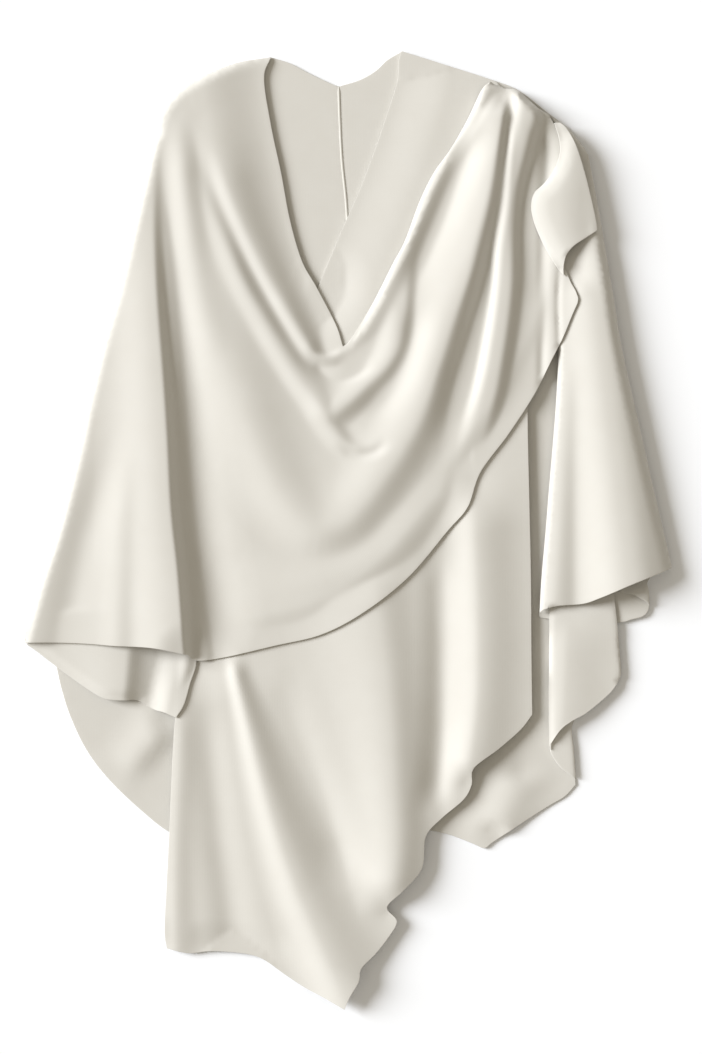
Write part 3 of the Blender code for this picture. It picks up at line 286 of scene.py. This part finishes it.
# Panels, from the surface up. Columns: name, rest height of its upper face, spacing of
# its points, edges (table, kind, height at the edge, reach), folds, creases, layers below.
PANELS = (
    ("back_left_half", BACK_TOP, 22, (
        (NECK_BACK_LEFT, "hem", 0, 0), (CENTRE_SEAM, "seam", 0, 0), (BACK_HEM_LEFT, "hem", 0, 0),
        (BACK_SIDE_LEFT, "hem", 0, 0), (LEFT_SIDE, "hem", 0, 0), (LEFT_SHOULDER, "hem", 0, 0)),
        BACK_LEFT_FOLDS, (), ()),
    ("back_right_half", BACK_TOP, 22, (
        (NECK_BACK_RIGHT, "hem", 0, 0), (RIGHT_SHOULDER, "hem", 0, 0), (RIGHT_SIDE, "hem", 0, 0),
        (BACK_SIDE_RIGHT, "hem", 0, 0), (BACK_HEM_RIGHT, "hem", 0, 0), (CENTRE_SEAM, "seam", 0, 0)),
        BACK_RIGHT_FOLDS, (), ()),
    ("left_front", FIRST_LAYER + 5, 11.5, (
        (FRONT_NECK, "drop", FIRST_LAYER + 1, 56), (FRONT_LEFT_HIDDEN, "drop", FIRST_LAYER, 60),
        (FRONT_LEFT_EDGE, "hem", 0, 0), (FRONT_HEM, "drop", FIRST_LAYER, HEM_DROP),
        (FRONT_CASCADE, "hem", 0, 0), (FRONT_RIGHT_EDGE, "hem", 0, 0), (FRONT_SHOULDER, "drop",
            FIRST_LAYER, 40)),
        FRONT_FOLDS, FRONT_CREASES, ()),
    ("left_sleeve_back", FIRST_LAYER + 2.5, 12, (
        (SLEEVE_BACK_HEM, "drop", FIRST_LAYER + 0.3, 12), (SLEEVE_BACK_BAND, "fold", SECOND_LAYER, 5),
        (SLEEVE_BACK_TOP, "hem", 0, 0)), BAND_FOLDS, BAND_CREASES, ("left_front",)),
    ("right_sleeve_back", FIRST_LAYER, 12, (
        (SLEEVE_UNDER_HEM, "hem", 0, 0), (SLEEVE_UNDER_SIDE, "hem", 0, 0),
        (SLEEVE_UNDER_TOP, "hem", 0, 0)), (), (), ()),
    ("right_hem_under", FIRST_LAYER + 1, 12, (
        (UNDER_FOLD_HEM, "hem", 0, 0), (UNDER_FOLD_SIDE, "fold", FIRST_LAYER, 6),
        (UNDER_FOLD_TOP, "hem", 0, 0)), (), (), ()),
    ("right_hem_upper", SECOND_LAYER + 1, 12, (
        (UPPER_FOLD_SIDE, "fold", FIRST_LAYER, 6), (UPPER_FOLD_HEM, "hem", 0, 0),
        (UPPER_FOLD_RIGHT, "fold", SECOND_LAYER - 0.4, 5), (UPPER_FOLD_TOP, "drop", FIRST_LAYER + 1, 24)),
        UPPER_FOLDS, (), ("right_hem_under", "right_sleeve_back")),
    ("right_roll_front", SECOND_LAYER + 2, 8, (
        (ROLL_FRONT_HEM, "hem", 0, 0), (ROLL_FRONT_SIDE, "fold", SECOND_LAYER + 0.2, 7),
        (ROLL_FRONT_TOP, "slope", SECOND_LAYER + 0.2, 12)), (), (), ()),
    ("right_sleeve", SECOND_LAYER + 4.5, 10, (
        (DRAPE_SHOULDER, "fold", FIRST_LAYER, 8), (RIGHT_SIDE, "fold", SECOND_LAYER + 2, 13), (DRAPE_HEM,
            "hem", 0, 0),
        (DRAPE_EDGE, "fold", SECOND_LAYER + 2.4, 5)), DRAPE_FOLDS, DRAPE_CREASES, ("right_hem_upper",
            "right_sleeve_back", "right_roll_front")),
    ("thrown_front", SECOND_LAYER + 6.5, 10, (
        (SLEEVE_HEM, "hem", 0, 0), (COWL_HEM, "drop", SECOND_LAYER + 2, HEM_DROP), (THROWN_END, "hem", 0,
            0),
        (PLEAT_TOPS, "fold", FIRST_LAYER + 1, 12), (ROLL_EDGE, "fold", SECOND_LAYER + 5.5, FOLD_RADIUS),
        (COWL_NECK, "drop", SECOND_LAYER, NECK_SLOPE), (LEFT_SHOULDER, "fold", FIRST_LAYER, 12),
        (LEFT_SIDE, "fold", FIRST_LAYER, 10)),
        COWL_FOLDS, COWL_CREASES, ("left_sleeve_back", "left_front", "right_sleeve")),
    ("shoulder_cascade", SECOND_LAYER + 11, 8, (
        (CASCADE_LEFT, "fold", SECOND_LAYER + 6, 18), (CASCADE_HEM, "hem", 0, 0), (CASCADE_RIGHT, "hem", 0,
            0)),
        CASCADE_FOLDS, (), ("thrown_front", "right_sleeve")),
)
COVERED = (("left_front", "thrown_front", 34.0),)      # panel, what hides it, how far in it turns coarse


# Finer folds that lie on the panels' own, same columns.
FINE_FOLDS = {
    "thrown_front": (
        ("pleat_top", 9, 5, 20, 14, 19, 12, 0.1, 0.5, 4,
         ((191.1, 451.5), (186.9, 429.5), (179.6, 403.2), (173.2, 374.9))),
    ),
}
FINE_CREASES = {
    "thrown_front": (
        ("roll_crease", 1.0, 2.0, 4, 7, 3, 7, 0.2, 0.4, 2,
         ((156.5, 462), (143.8, 443.1), (127.1, 419), (111.3, 394.8), (101.9, 373.8))),
        ("shoulder_hollow", 7, 4, 9, 12, 9, 16, 0.25, 0.5, 2,
         ((207.9, 423.2), (209, 403.2), (203.7, 379.1), (194.2, 350.7), (192.2, 313.9), (197.4, 271.9),
          (203.7, 230))),
        ("under_lip", 2, 2.5, 7, 7, 5, 5, 0.35, 0.35, 2,
         ((-44.1, 185.8), (-31.5, 172.2), (-17.9, 163.8), (-2.1, 160.7), (12.6, 164.8), (27.3, 174.3))),
        ("scoop_lip", 1.5, 2, 5, 6, 5, 5, 0.35, 0.35, 2,
         ((-12.6, 90.3), (1.1, 80.9), (15.8, 77.7), (30.5, 81.9), (43.1, 93.5))),
    ),
}
KNIT_TURN = {"thrown_front": 0.55, "shoulder_cascade": 0.4}
NET_STEP = {"back_left_half": 8.0, "back_right_half": 8.0, "left_front": 4.0, "thrown_front": 3.2,
            "right_sleeve": 3.6, "left_sleeve_back": 3.2, "right_hem_under": 3.0, "right_hem_upper": 3.0,
            "right_sleeve_back": 3.0, "right_roll_front": 2.4, "shoulder_cascade": 2.6}
# How far a rim is rounded, where it isn't the usual 0.55 mm.
EDGE_TURN = {"left_front": 0.25}


class EdgeKind(Enum):
    """How a panel ends at one of its edges."""

    HEM = "hem"
    SEAM = "seam"
    FOLD = "fold"
    SLOPE = "slope"
    DROP = "drop"


def smooth_step(value: np.ndarray) -> np.ndarray:
    """Ease from 0 to 1.

    Args:
        value: Numbers that run from 0 to 1, clipped outside that.

    Returns:
        The eased numbers.
    """
    t = np.clip(value, 0.0, 1.0)
    return t * t * (3.0 - 2.0 * t)


@lru_cache(maxsize=None)
def spline(points: tuple, step: float) -> np.ndarray:
    """Draw a smooth curve through a short table of points.

    Args:
        points: Rows of x and y.
        step: Spacing along the curve.

    Returns:
        The curve's points, one row each.
    """
    p = np.array(points, dtype=float)
    if len(p) == 2:
        count = max(1, int(round(np.linalg.norm(p[1] - p[0]) / step)))
        return np.linspace(p[0], p[1], count + 1)
    ends = np.vstack([2 * p[0] - p[1], p, 2 * p[-1] - p[-2]])
    out = [p[0]]
    for i in range(1, len(ends) - 2):
        a, b, c, d = ends[i - 1:i + 3]
        count = max(1, int(round(np.linalg.norm(c - b) / step)))
        for k in range(1, count + 1):
            t = k / count
            out.append(0.5 * (2 * b + (c - a) * t + (2 * a - 5 * b + 4 * c - d) * t ** 2
                              + (3 * b - a - 3 * c + d) * t ** 3))
    return np.array(out)


def nearest(line: np.ndarray, xy: np.ndarray) -> tuple[np.ndarray, np.ndarray, np.ndarray]:
    """Find where each point lies beside a line.

    Args:
        line: Points of the line.
        xy: Points to place.

    Returns:
        Distance, side (1 on the left hand, -1 on the right) and share of the length.
    """
    a = line[:-1]
    run = line[1:] - a
    length = np.linalg.norm(run, axis=1)
    start = np.concatenate([[0.0], np.cumsum(length)])
    best = np.full(len(xy), np.inf)
    side = np.zeros(len(xy))
    share = np.zeros(len(xy))
    for i in range(len(a)):
        off = xy - a[i]
        t = np.clip((off @ run[i]) / max(length[i] ** 2, 1e-9), 0.0, 1.0)
        gap = off - t[:, None] * run[i]
        dist = np.hypot(gap[:, 0], gap[:, 1])
        closer = dist < best
        best = np.where(closer, dist, best)
        side = np.where(closer, run[i][0] * off[:, 1] - run[i][1] * off[:, 0], side)
        share = np.where(closer, (start[i] + t * length[i]) / start[-1], share)
    return best, np.sign(side), share


@lru_cache(maxsize=None)
def lone_weight() -> tuple[np.ndarray, np.ndarray]:
    """Weigh a straight route as seen from each distance, to tell where a bent one crowds.

    Returns:
        Distances, and the weight at each.
    """
    dist = np.linspace(0.0, 150.0, 76)[:, None]
    along = np.maximum(np.abs(np.arange(-60, 61)) - 0.5, 0.0) * ROUTE_STEP
    weight = np.exp((dist - np.hypot(dist, along)) / (1.0 + BEND_EASE * dist))
    return dist[:, 0], ROUTE_STEP * weight.sum(axis=1)


def beside(line: np.ndarray, xy: np.ndarray) -> tuple[np.ndarray, np.ndarray, np.ndarray]:
    """Place points beside a route, eased where two of its stretches are as near.

    Args:
        line: Points of the route.
        xy: Points to place.

    Returns:
        Distance, side (1 on the left hand, -1 on the right) and share of the length.
    """
    best, side, _ = nearest(line, xy)
    a = line[:-1]
    run = line[1:] - a
    length = np.linalg.norm(run, axis=1)
    start = np.concatenate([[0.0], np.cumsum(length)])
    ease = 1.0 + BEND_EASE * best
    total = np.zeros(len(xy))
    place = np.zeros(len(xy))
    for i in range(len(a)):
        off = xy - a[i]
        t = np.clip((off @ run[i]) / max(length[i] ** 2, 1e-9), 0.0, 1.0)
        gap = off - t[:, None] * run[i]
        weight = length[i] * np.exp((best - np.hypot(gap[:, 0], gap[:, 1])) / ease)
        total += weight
        place += weight * (start[i] + t * length[i])
    crowd = np.maximum(total / np.interp(best, *lone_weight()), 1.0)
    near = best - ease * np.log(crowd) * smooth_step((best - 6.0) / 12.0)
    return np.maximum(near, 0.0), side, place / (total * start[-1])


def inside(loop: np.ndarray, xy: np.ndarray) -> np.ndarray:
    """Tell which points lie inside a closed outline.

    Args:
        loop: Points of the outline.
        xy: Points to test.

    Returns:
        True for each point inside.
    """
    hit = np.zeros(len(xy), dtype=bool)
    for a, b in zip(loop, np.roll(loop, -1, axis=0)):
        spans = (a[1] > xy[:, 1]) != (b[1] > xy[:, 1])
        cross = a[0] + (xy[:, 1] - a[1]) * (b[0] - a[0]) / (b[1] - a[1] + 1e-12)
        hit ^= spans & (xy[:, 0] < cross)
    return hit


def edge_distance(loop: np.ndarray, xy: np.ndarray) -> np.ndarray:
    """Distance of each point to a closed outline."""
    return nearest(np.vstack([loop, loop[:1]]), xy)[0]


@dataclass(frozen=True)
class Fold:
    """One ridge or trough of the cloth, along a route."""

    name: str
    head: float
    tail: float
    left_head: float
    left_tail: float
    right_head: float
    right_tail: float
    fade_in: float
    fade_out: float
    flatness: float
    route: tuple

    def rise(self, xy: np.ndarray) -> np.ndarray:
        """Height that the fold adds.

        Args:
            xy: Points on the cloth.

        Returns:
            One height for each point.
        """
        line = spline(self.route, ROUTE_STEP)
        far = BELL_REACH * max(self.left_head, self.left_tail, self.right_head, self.right_tail)
        close = np.all((xy > line.min(axis=0) - far) & (xy < line.max(axis=0) + far), axis=1)
        out = np.zeros(len(xy))
        out[close] = self.rise_near(line, xy[close])
        return out

    def rise_near(self, line: np.ndarray, xy: np.ndarray) -> np.ndarray:
        """Height that the fold adds to points near its route.

        Args:
            line: Points of the route.
            xy: Points on the cloth.

        Returns:
            One height for each point.
        """
        dist, side, share = beside(line, xy)
        left = self.left_head + (self.left_tail - self.left_head) * share
        right = self.right_head + (self.right_tail - self.right_head) * share
        reach = np.where(side > 0, left, right)
        height = self.head + (self.tail - self.head) * share
        fade = smooth_step(0.12 + share / self.fade_in)
        fade *= smooth_step(0.12 + (1.0 - share) / self.fade_out)
        bell = np.maximum(np.exp(-(dist / reach) ** self.flatness) - BELL_CUT, 0.0) / (1.0 - BELL_CUT)
        return height * fade * bell


@dataclass(frozen=True)
class Edge:
    """One named edge of a panel."""

    table: tuple
    kind: EdgeKind
    low: float
    reach: float

    def settle(self, xy: np.ndarray, z: np.ndarray, rest: float) -> np.ndarray:
        """Bring the cloth down toward the edge.

        Args:
            xy: Points on the cloth.
            z: Their heights so far.
            rest: The panel's rest height.

        Returns:
            The new heights.
        """
        if self.kind in (EdgeKind.HEM, EdgeKind.SEAM):
            return z
        t = np.clip(nearest(spline(self.table, 6.0), xy)[0] / self.reach, 0.0, 1.0)
        if self.kind is EdgeKind.FOLD:
            return self.low + (z - self.low) * np.sqrt(1.0 - (1.0 - t) ** 2)
        if self.kind is EdgeKind.SLOPE:
            return self.low + (z - self.low) * smooth_step(t)
        return z - (rest - self.low) * (1.0 - smooth_step(t))


@dataclass(frozen=True)
class KnitFinish:
    """Fine double-faced knit in one colour, matt with a soft nap."""

    name: str
    colour: tuple[float, float, float, float] = (0.625, 0.608, 0.57, 1.0)
    pale: tuple[float, float, float, float] = (0.655, 0.642, 0.608, 1.0)
    roughness: float = 0.88
    sheen: float = 0.10
    sheen_roughness: float = 0.45
    stitch_mm: float = 1.7
    course_mm: float = 1.3
    relief_mm: float = 0.10
    turn: float = 0.0

    def make(self) -> bpy.types.Material:
        """Build the node material.

        Returns:
            The new material.
        """
        material = bpy.data.materials.new(self.name)
        material.use_nodes = True
        tree = material.node_tree
        shader = tree.nodes["Principled BSDF"]
        shader.inputs["Roughness"].default_value = self.roughness
        shader.inputs["Sheen Weight"].default_value = self.sheen
        shader.inputs["Sheen Roughness"].default_value = self.sheen_roughness
        shader.inputs["Specular IOR Level"].default_value = 0.12
        place = tree.nodes.new("ShaderNodeTexCoord")
        turn = tree.nodes.new("ShaderNodeMapping")
        turn.inputs["Rotation"].default_value[2] = self.turn
        tree.links.new(place.outputs["Object"], turn.inputs["Vector"])

        mottle = tree.nodes.new("ShaderNodeTexNoise")
        mottle.inputs["Scale"].default_value = 38.0
        mottle.inputs["Detail"].default_value = 5.0
        tree.links.new(turn.outputs["Vector"], mottle.inputs["Vector"])
        blend = tree.nodes.new("ShaderNodeMix")
        blend.data_type = "RGBA"
        blend.inputs["A"].default_value = self.colour
        blend.inputs["B"].default_value = self.pale
        tree.links.new(mottle.outputs["Fac"], blend.inputs["Factor"])
        tree.links.new(blend.outputs["Result"], shader.inputs["Base Color"])

        wales = tree.nodes.new("ShaderNodeTexWave")
        wales.bands_direction = "X"
        wales.inputs["Scale"].default_value = 1.0 / (self.stitch_mm * MM) / 3.1416
        wales.inputs["Distortion"].default_value = 1.2
        wales.inputs["Detail"].default_value = 1.0
        wales.inputs["Detail Scale"].default_value = 2.0
        courses = tree.nodes.new("ShaderNodeTexWave")
        courses.bands_direction = "Y"
        courses.inputs["Scale"].default_value = 1.0 / (self.course_mm * MM) / 3.1416
        courses.inputs["Distortion"].default_value = 1.6
        nap = tree.nodes.new("ShaderNodeTexNoise")
        nap.inputs["Scale"].default_value = 900.0
        nap.inputs["Detail"].default_value = 3.0
        for node in (wales, courses, nap):
            tree.links.new(turn.outputs["Vector"], node.inputs["Vector"])
        loops = tree.nodes.new("ShaderNodeMath")
        loops.operation = "ADD"
        tree.links.new(wales.outputs["Fac"], loops.inputs[0])
        tree.links.new(courses.outputs["Fac"], loops.inputs[1])
        both = tree.nodes.new("ShaderNodeMath")
        both.operation = "MULTIPLY_ADD"
        both.inputs[1].default_value = 0.5
        tree.links.new(loops.outputs["Value"], both.inputs[0])
        tree.links.new(nap.outputs["Fac"], both.inputs[2])
        bump = tree.nodes.new("ShaderNodeBump")
        bump.inputs["Strength"].default_value = 0.35
        bump.inputs["Distance"].default_value = self.relief_mm * MM
        tree.links.new(both.outputs["Value"], bump.inputs["Height"])
        tree.links.new(bump.outputs["Normal"], shader.inputs["Normal"])
        return material


@dataclass
class ClothPanel:
    """One cut of cloth, as a thin shell over its solid."""

    name: str
    rest: float
    step: float
    edges: tuple[Edge, ...]
    folds: tuple[Fold, ...]
    creases: tuple[Fold, ...]
    below: tuple[ClothPanel, ...]
    finish: KnitFinish
    covers: tuple[tuple[ClothPanel, float], ...] = ()
    turned_edge: float = 0.55
    piece: bpy.types.Object | None = None
    loops: dict = field(default_factory=dict)

    def outline(self, step: float) -> np.ndarray:
        """Join the edges into one closed outline, counter-clockwise.

        Args:
            step: Spacing of the points.

        Returns:
            The outline's points.
        """
        if step in self.loops:
            return self.loops[step]
        loop: list[np.ndarray] = []
        for edge in self.edges:
            line = spline(edge.table, step)
            if loop:
                if np.linalg.norm(line[0] - loop[-1]) > np.linalg.norm(line[-1] - loop[-1]):
                    line = line[::-1]
            else:
                after = np.array(self.edges[1].table, dtype=float)
                ends = (after[0], after[-1])
                if min(np.linalg.norm(line[0] - e) for e in ends) < min(
                        np.linalg.norm(line[-1] - e) for e in ends):
                    line = line[::-1]
            for point in line:
                if not loop or np.linalg.norm(point - loop[-1]) > 0.8:
                    loop.append(point)
        if np.linalg.norm(loop[0] - loop[-1]) < 0.8:
            loop.pop()
        ring = np.array(loop)
        after = np.roll(ring, -1, axis=0)
        if np.sum(ring[:, 0] * after[:, 1] - after[:, 0] * ring[:, 1]) < 0:
            ring = ring[::-1]
        self.loops[step] = ring
        return ring

    def bed(self, xy: np.ndarray) -> np.ndarray:
        """Height that the underside must stay above.

        Args:
            xy: Points on the cloth.

        Returns:
            One height for each point.
        """
        high = np.full(len(xy), BACK_TOP + REST_GAP)
        for lower in self.below:
            loop = lower.outline(9.0)
            outside = np.where(inside(loop, xy), 0.0, edge_distance(loop, xy))
            weight = smooth_step(1.3 - outside / 24.0)
            top = lower.relief(xy) + FOLD_GAP
            high = np.maximum(high, BACK_TOP + REST_GAP + (top - BACK_TOP - REST_GAP) * weight)
        return high

    def relief(self, xy: np.ndarray) -> np.ndarray:
        """Height of the upper face.

        Args:
            xy: Points on the cloth.

        Returns:
            One height for each point.
        """
        total = np.zeros(len(xy))
        for fold in self.folds:
            total += np.maximum(fold.rise(xy), 0.0) ** 2.5
        z = self.rest + total ** 0.4
        for crease in self.creases:
            z = z - crease.rise(xy)
        for edge in self.edges:
            z = edge.settle(xy, z, self.rest)
        if self.rest <= BACK_TOP:
            return np.maximum(z, BACK_TOP)
        floor = self.bed(xy) + WALL
        eased = 0.5 * (z + floor + np.sqrt((z - floor) ** 2 + 1.0))
        return np.where((floor > FIRST_LAYER + 0.01) | (z < FIRST_LAYER), np.maximum(eased, floor), z)

    def underside(self, xy: np.ndarray, z: np.ndarray, upright: np.ndarray) -> np.ndarray:
        """Height of the lower face, deeper where the cloth is steep.

        Args:
            xy: Points on the cloth.
            z: Heights of the upper face.
            upright: Upward share of the normal there.

        Returns:
            One height for each point.
        """
        if self.rest <= BACK_TOP:
            return np.maximum(z - WALL, 0.0)
        depth = WALL / np.clip(upright, 0.62, 1.0)
        return np.minimum(np.maximum(z - depth, self.bed(xy)), z - 0.9 * WALL)

    def points(self) -> tuple[np.ndarray, np.ndarray]:
        """Lay out the outline's points and an even net inside it.

        Returns:
            The outline and the inner points.
        """
        step = self.step
        loop = self.outline(min(step, 4.0))
        low, high = loop.min(axis=0), loop.max(axis=0)
        rows = int((high[1] - low[1]) / (step * 0.866)) + 2
        columns = int((high[0] - low[0]) / step) + 2
        r, c = np.meshgrid(np.arange(rows), np.arange(columns), indexing="ij")
        inner = np.stack([low[0] + (c + 0.5 * (r % 2)) * step, low[1] + r * step * 0.866],
                         axis=-1).reshape(-1, 2)
        sparse = ((r % 4 == 0) & ((c + r // 4) % 4 == 0)).reshape(-1)
        ok = inside(loop, inner) & (edge_distance(loop, inner) > 0.62 * step)
        for cover, depth in self.covers:
            hide = cover.outline(9.0)
            ok &= sparse | ~(inside(hide, inner) & (edge_distance(hide, inner) > depth))
        inner = inner[ok]
        for edge in self.edges:
            if edge.kind is not EdgeKind.FOLD:
                continue
            for share in (0.08, 0.28, 0.6):
                row = self.row_inside(edge, loop, edge.reach * share)
                if len(row):
                    far = nearest(row, inner)[0] > 0.45 * step
                    inner = np.vstack([inner[far], row])
        return loop, inner

    @staticmethod
    def row_inside(edge: Edge, loop: np.ndarray, depth: float) -> np.ndarray:
        """Place points a set depth inside one edge.

        Args:
            edge: The edge to follow.
            loop: The panel's outline.
            depth: How far inside.

        Returns:
            The points that keep that depth.
        """
        line = spline(edge.table, 4.0)[1:-1]
        if len(line) < 2:
            return np.zeros((0, 2))
        tangent = np.gradient(line, axis=0)
        tangent /= np.linalg.norm(tangent, axis=1)[:, None] + 1e-12
        normal = np.stack([-tangent[:, 1], tangent[:, 0]], axis=1)
        for sign in (1.0, -1.0):
            row = line + sign * depth * normal
            if inside(loop, row).mean() > 0.5:
                return row[inside(loop, row) & (edge_distance(loop, row) > 0.85 * depth)]
        return np.zeros((0, 2))

    def seam_shift(self, loop: np.ndarray) -> np.ndarray:
        """Part the panel from its other half along the centre seam."""
        if all(edge.kind is not EdgeKind.SEAM for edge in self.edges):
            return loop
        near = nearest(spline(CENTRE_SEAM, 4.0), loop)[0] < 0.5
        loop = loop.copy()
        loop[near, 0] += math.copysign(0.5 * SEAM_GAP, loop[:, 0].mean() - spline(CENTRE_SEAM, 4.0)[:,
                                       0].mean())
        return loop

    def build(self) -> bpy.types.Object:
        """Make the shell and stand it in for its solid.

        Returns:
            The new piece.
        """
        loop, inner = self.points()
        loop = self.seam_shift(loop)
        flat = [Vector((x, y)) for x, y in np.vstack([loop, inner])]
        found = delaunay_2d_cdt(flat, [], [list(range(len(loop)))], 1, 1e-6)
        xy = np.array([(v.x, v.y) for v in found[0]])
        z = self.relief(xy)
        mesh = bpy.data.meshes.new(self.name + "_cloth")
        mesh.from_pydata([(x * MM, y * MM, h * MM) for (x, y), h in zip(xy, z)], [],
                         [list(f) for f in found[2]])
        bm = bmesh.new()
        bm.from_mesh(mesh)
        bmesh.ops.recalc_face_normals(bm, faces=bm.faces[:])
        bm.normal_update()
        upright = np.array([abs(v.normal.z) for v in bm.verts])
        low = self.underside(xy, z, upright)
        tag = bm.verts.layers.int.new("row")
        for i, vert in enumerate(bm.verts):
            vert[tag] = i
        area = sum(face.calc_area() for face in bm.faces)
        first = set(bm.faces)
        made = bmesh.ops.extrude_face_region(bm, geom=bm.faces[:])
        second = {item for item in made["geom"] if isinstance(item, bmesh.types.BMFace)}
        for item in made["geom"]:
            if isinstance(item, bmesh.types.BMVert):
                item.co.z = low[item[tag]] * MM
        rim = [face for face in bm.faces if face not in first and face not in second]
        rim_set = set(rim)
        ends = [edge for face in rim for edge in face.edges
                if any(other not in rim_set for other in edge.link_faces)]
        bmesh.ops.recalc_face_normals(bm, faces=bm.faces[:])
        bmesh.ops.bevel(bm, geom=list(dict.fromkeys(ends)), offset=self.turned_edge * MM, segments=2,
                        profile=0.5, affect="EDGES", clamp_overlap=True)
        bm.to_mesh(mesh)
        bm.free()
        for face in mesh.polygons:
            face.use_smooth = True
        mesh.materials.append(self.finish.make())
        self.piece = bpy.data.objects.new(self.name + "_cloth", mesh)
        bpy.context.scene.collection.objects.link(self.piece)
        even = self.piece.modifiers.new("even_shading", "WEIGHTED_NORMAL")
        even.mode = "FACE_AREA"
        self.declare(area)
        return self.piece

    def declare(self, area: float) -> None:
        """Tell the frame what the piece is.

        Args:
            area: Area of its upper face, in square metres.
        """
        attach(self.piece, "root")
        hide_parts(self.name)
        LOG.info("%s: %.3f m2, %d faces", self.name, area, len(self.piece.data.polygons))


@dataclass
class CentreSeam:
    """The raised seam that joins the two back halves, with its stitches."""

    width: float = 2.6
    height: float = 0.75
    stop: float = 322.0
    stitch_every: float = 3.4
    finish: KnitFinish = KnitFinish("seam_cloth", colour=(0.64, 0.622, 0.575, 1.0))

    def build(self) -> bpy.types.Object:
        """Sweep the seam's low round section along the centre back.

        Returns:
            The new piece.
        """
        line = spline(CENTRE_SEAM, 2.0)
        line = line[line[:, 1] > self.stop]
        bm = bmesh.new()
        rings = []
        for i, (x, y) in enumerate(line):
            ease = min(1.0, 0.3 + 0.25 * min(i, len(line) - 1 - i))
            pucker = 1.0 + 0.10 * math.sin(2.0 * math.pi * y / self.stitch_every)
            ring = []
            for k in range(9):
                angle = math.pi * k / 8.0
                out = 0.5 * self.width * math.cos(angle) * ease
                up = self.height * ease * pucker * math.sin(angle)
                ring.append(bm.verts.new(((x - out) * MM, y * MM, (BACK_TOP + 0.05 + up) * MM)))
            rings.append(ring)
        for a, b in zip(rings, rings[1:]):
            for k in range(9):
                bm.faces.new((a[k], a[(k + 1) % 9], b[(k + 1) % 9], b[k]))
        bm.faces.new(rings[0])
        bm.faces.new(rings[-1][::-1])
        bmesh.ops.recalc_face_normals(bm, faces=bm.faces[:])
        mesh = bpy.data.meshes.new("centre_back_seam")
        bm.to_mesh(mesh)
        bm.free()
        for face in mesh.polygons:
            face.use_smooth = True
        mesh.materials.append(self.finish.make())
        piece = bpy.data.objects.new("centre_back_seam", mesh)
        bpy.context.scene.collection.objects.link(piece)
        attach(piece, "root")
        LOG.info("centre_back_seam: %d faces", len(mesh.polygons))
        return piece


@dataclass
class Studio:
    """The pale surface the wrap lies on, its soft light and the camera above."""

    lens: float = 85.0
    frame_height: float = 1.1067
    centre: tuple[float, float] = (0.00315, 0.0021)
    focus_height: float = 0.015
    key_strength: float = 5.05
    key_colour: tuple[float, float, float] = (0.965, 0.98, 1.0)
    key_spread: float = 0.5
    key_place: tuple[float, float, float] = (-2.05, 0.62, 1.0)
    fill: float = 0.435
    fill_colour: tuple[float, float, float, float] = (1.0, 0.92, 0.77, 1.0)
    floor_colour: tuple[float, float, float, float] = (0.935, 0.955, 1.0, 1.0)
    floor_width: float = 60.0
    floor_gap: float = 0.0004

    def floor(self) -> None:
        """Lay the pale surface just under the wrap."""
        bpy.ops.mesh.primitive_plane_add(size=self.floor_width, location=(0.0, 0.0, -self.floor_gap))
        ground = bpy.context.object
        ground.name = "pale_floor"
        material = bpy.data.materials.new("pale_floor")
        material.use_nodes = True
        shader = material.node_tree.nodes["Principled BSDF"]
        shader.inputs["Base Color"].default_value = self.floor_colour
        shader.inputs["Roughness"].default_value = 0.9
        shader.inputs["Specular IOR Level"].default_value = 0.1
        ground.data.materials.append(material)

    def light(self) -> None:
        """Hang the soft light on the left and fill the rest evenly."""
        data = bpy.data.lights.new("key_light", "SUN")
        data.angle = self.key_spread
        data.energy = self.key_strength
        data.color = self.key_colour
        lamp = bpy.data.objects.new("key_light", data)
        lamp.location = self.key_place
        lamp.rotation_euler = (-Vector(self.key_place)).to_track_quat("-Z", "Y").to_euler()
        bpy.context.scene.collection.objects.link(lamp)
        world = bpy.data.worlds.new("studio_fill")
        world.use_nodes = True
        back = world.node_tree.nodes["Background"]
        back.inputs["Color"].default_value = self.fill_colour
        back.inputs["Strength"].default_value = self.fill
        bpy.context.scene.world = world

    def camera(self) -> None:
        """Look straight down with the neck at the top of the frame."""
        data = bpy.data.cameras.new("camera")
        data.lens = self.lens
        data.sensor_width = 36.0
        away = 0.5 * self.frame_height / (18.0 / self.lens)
        eye = bpy.data.objects.new("camera", data)
        eye.location = (self.centre[0], self.centre[1], away + self.focus_height)
        bpy.context.scene.collection.objects.link(eye)
        bpy.context.scene.camera = eye
        bpy.context.scene.view_settings.view_transform = "Standard"


def panel_set() -> list[ClothPanel]:
    """Read the panels' rows into classes, lowest first.

    Returns:
        The panels in the order of their layers.
    """
    made: dict[str, ClothPanel] = {}
    for name, rest, _, edges, folds, creases, below in PANELS:
        finish = KnitFinish(name + "_knit", turn=KNIT_TURN.get(name, 0.0))
        extra = FINE_FOLDS.get(name, ())
        dents = FINE_CREASES.get(name, ())
        made[name] = ClothPanel(
            name, rest, NET_STEP.get(name, 4.0),
            tuple(Edge(table, EdgeKind(kind), low, reach) for table, kind, low, reach in edges),
            tuple(Fold(*row) for row in folds + extra),
            tuple(Fold(*row) for row in creases + dents),
            tuple(made[lower] for lower in below), finish, turned_edge=EDGE_TURN.get(name, 0.55))
    for name, cover, depth in COVERED:
        made[name].covers += ((made[cover], depth),)
    return list(made.values())


def main() -> None:
    """Dress the frame with every piece of the wrap and light it."""
    logging.basicConfig(level=logging.INFO, format="%(name)s %(message)s")
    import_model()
    for panel in panel_set():
        panel.build()
    CentreSeam().build()
    studio = Studio()
    studio.floor()
    studio.light()
    studio.camera()


if __name__ == "__main__":
    main()
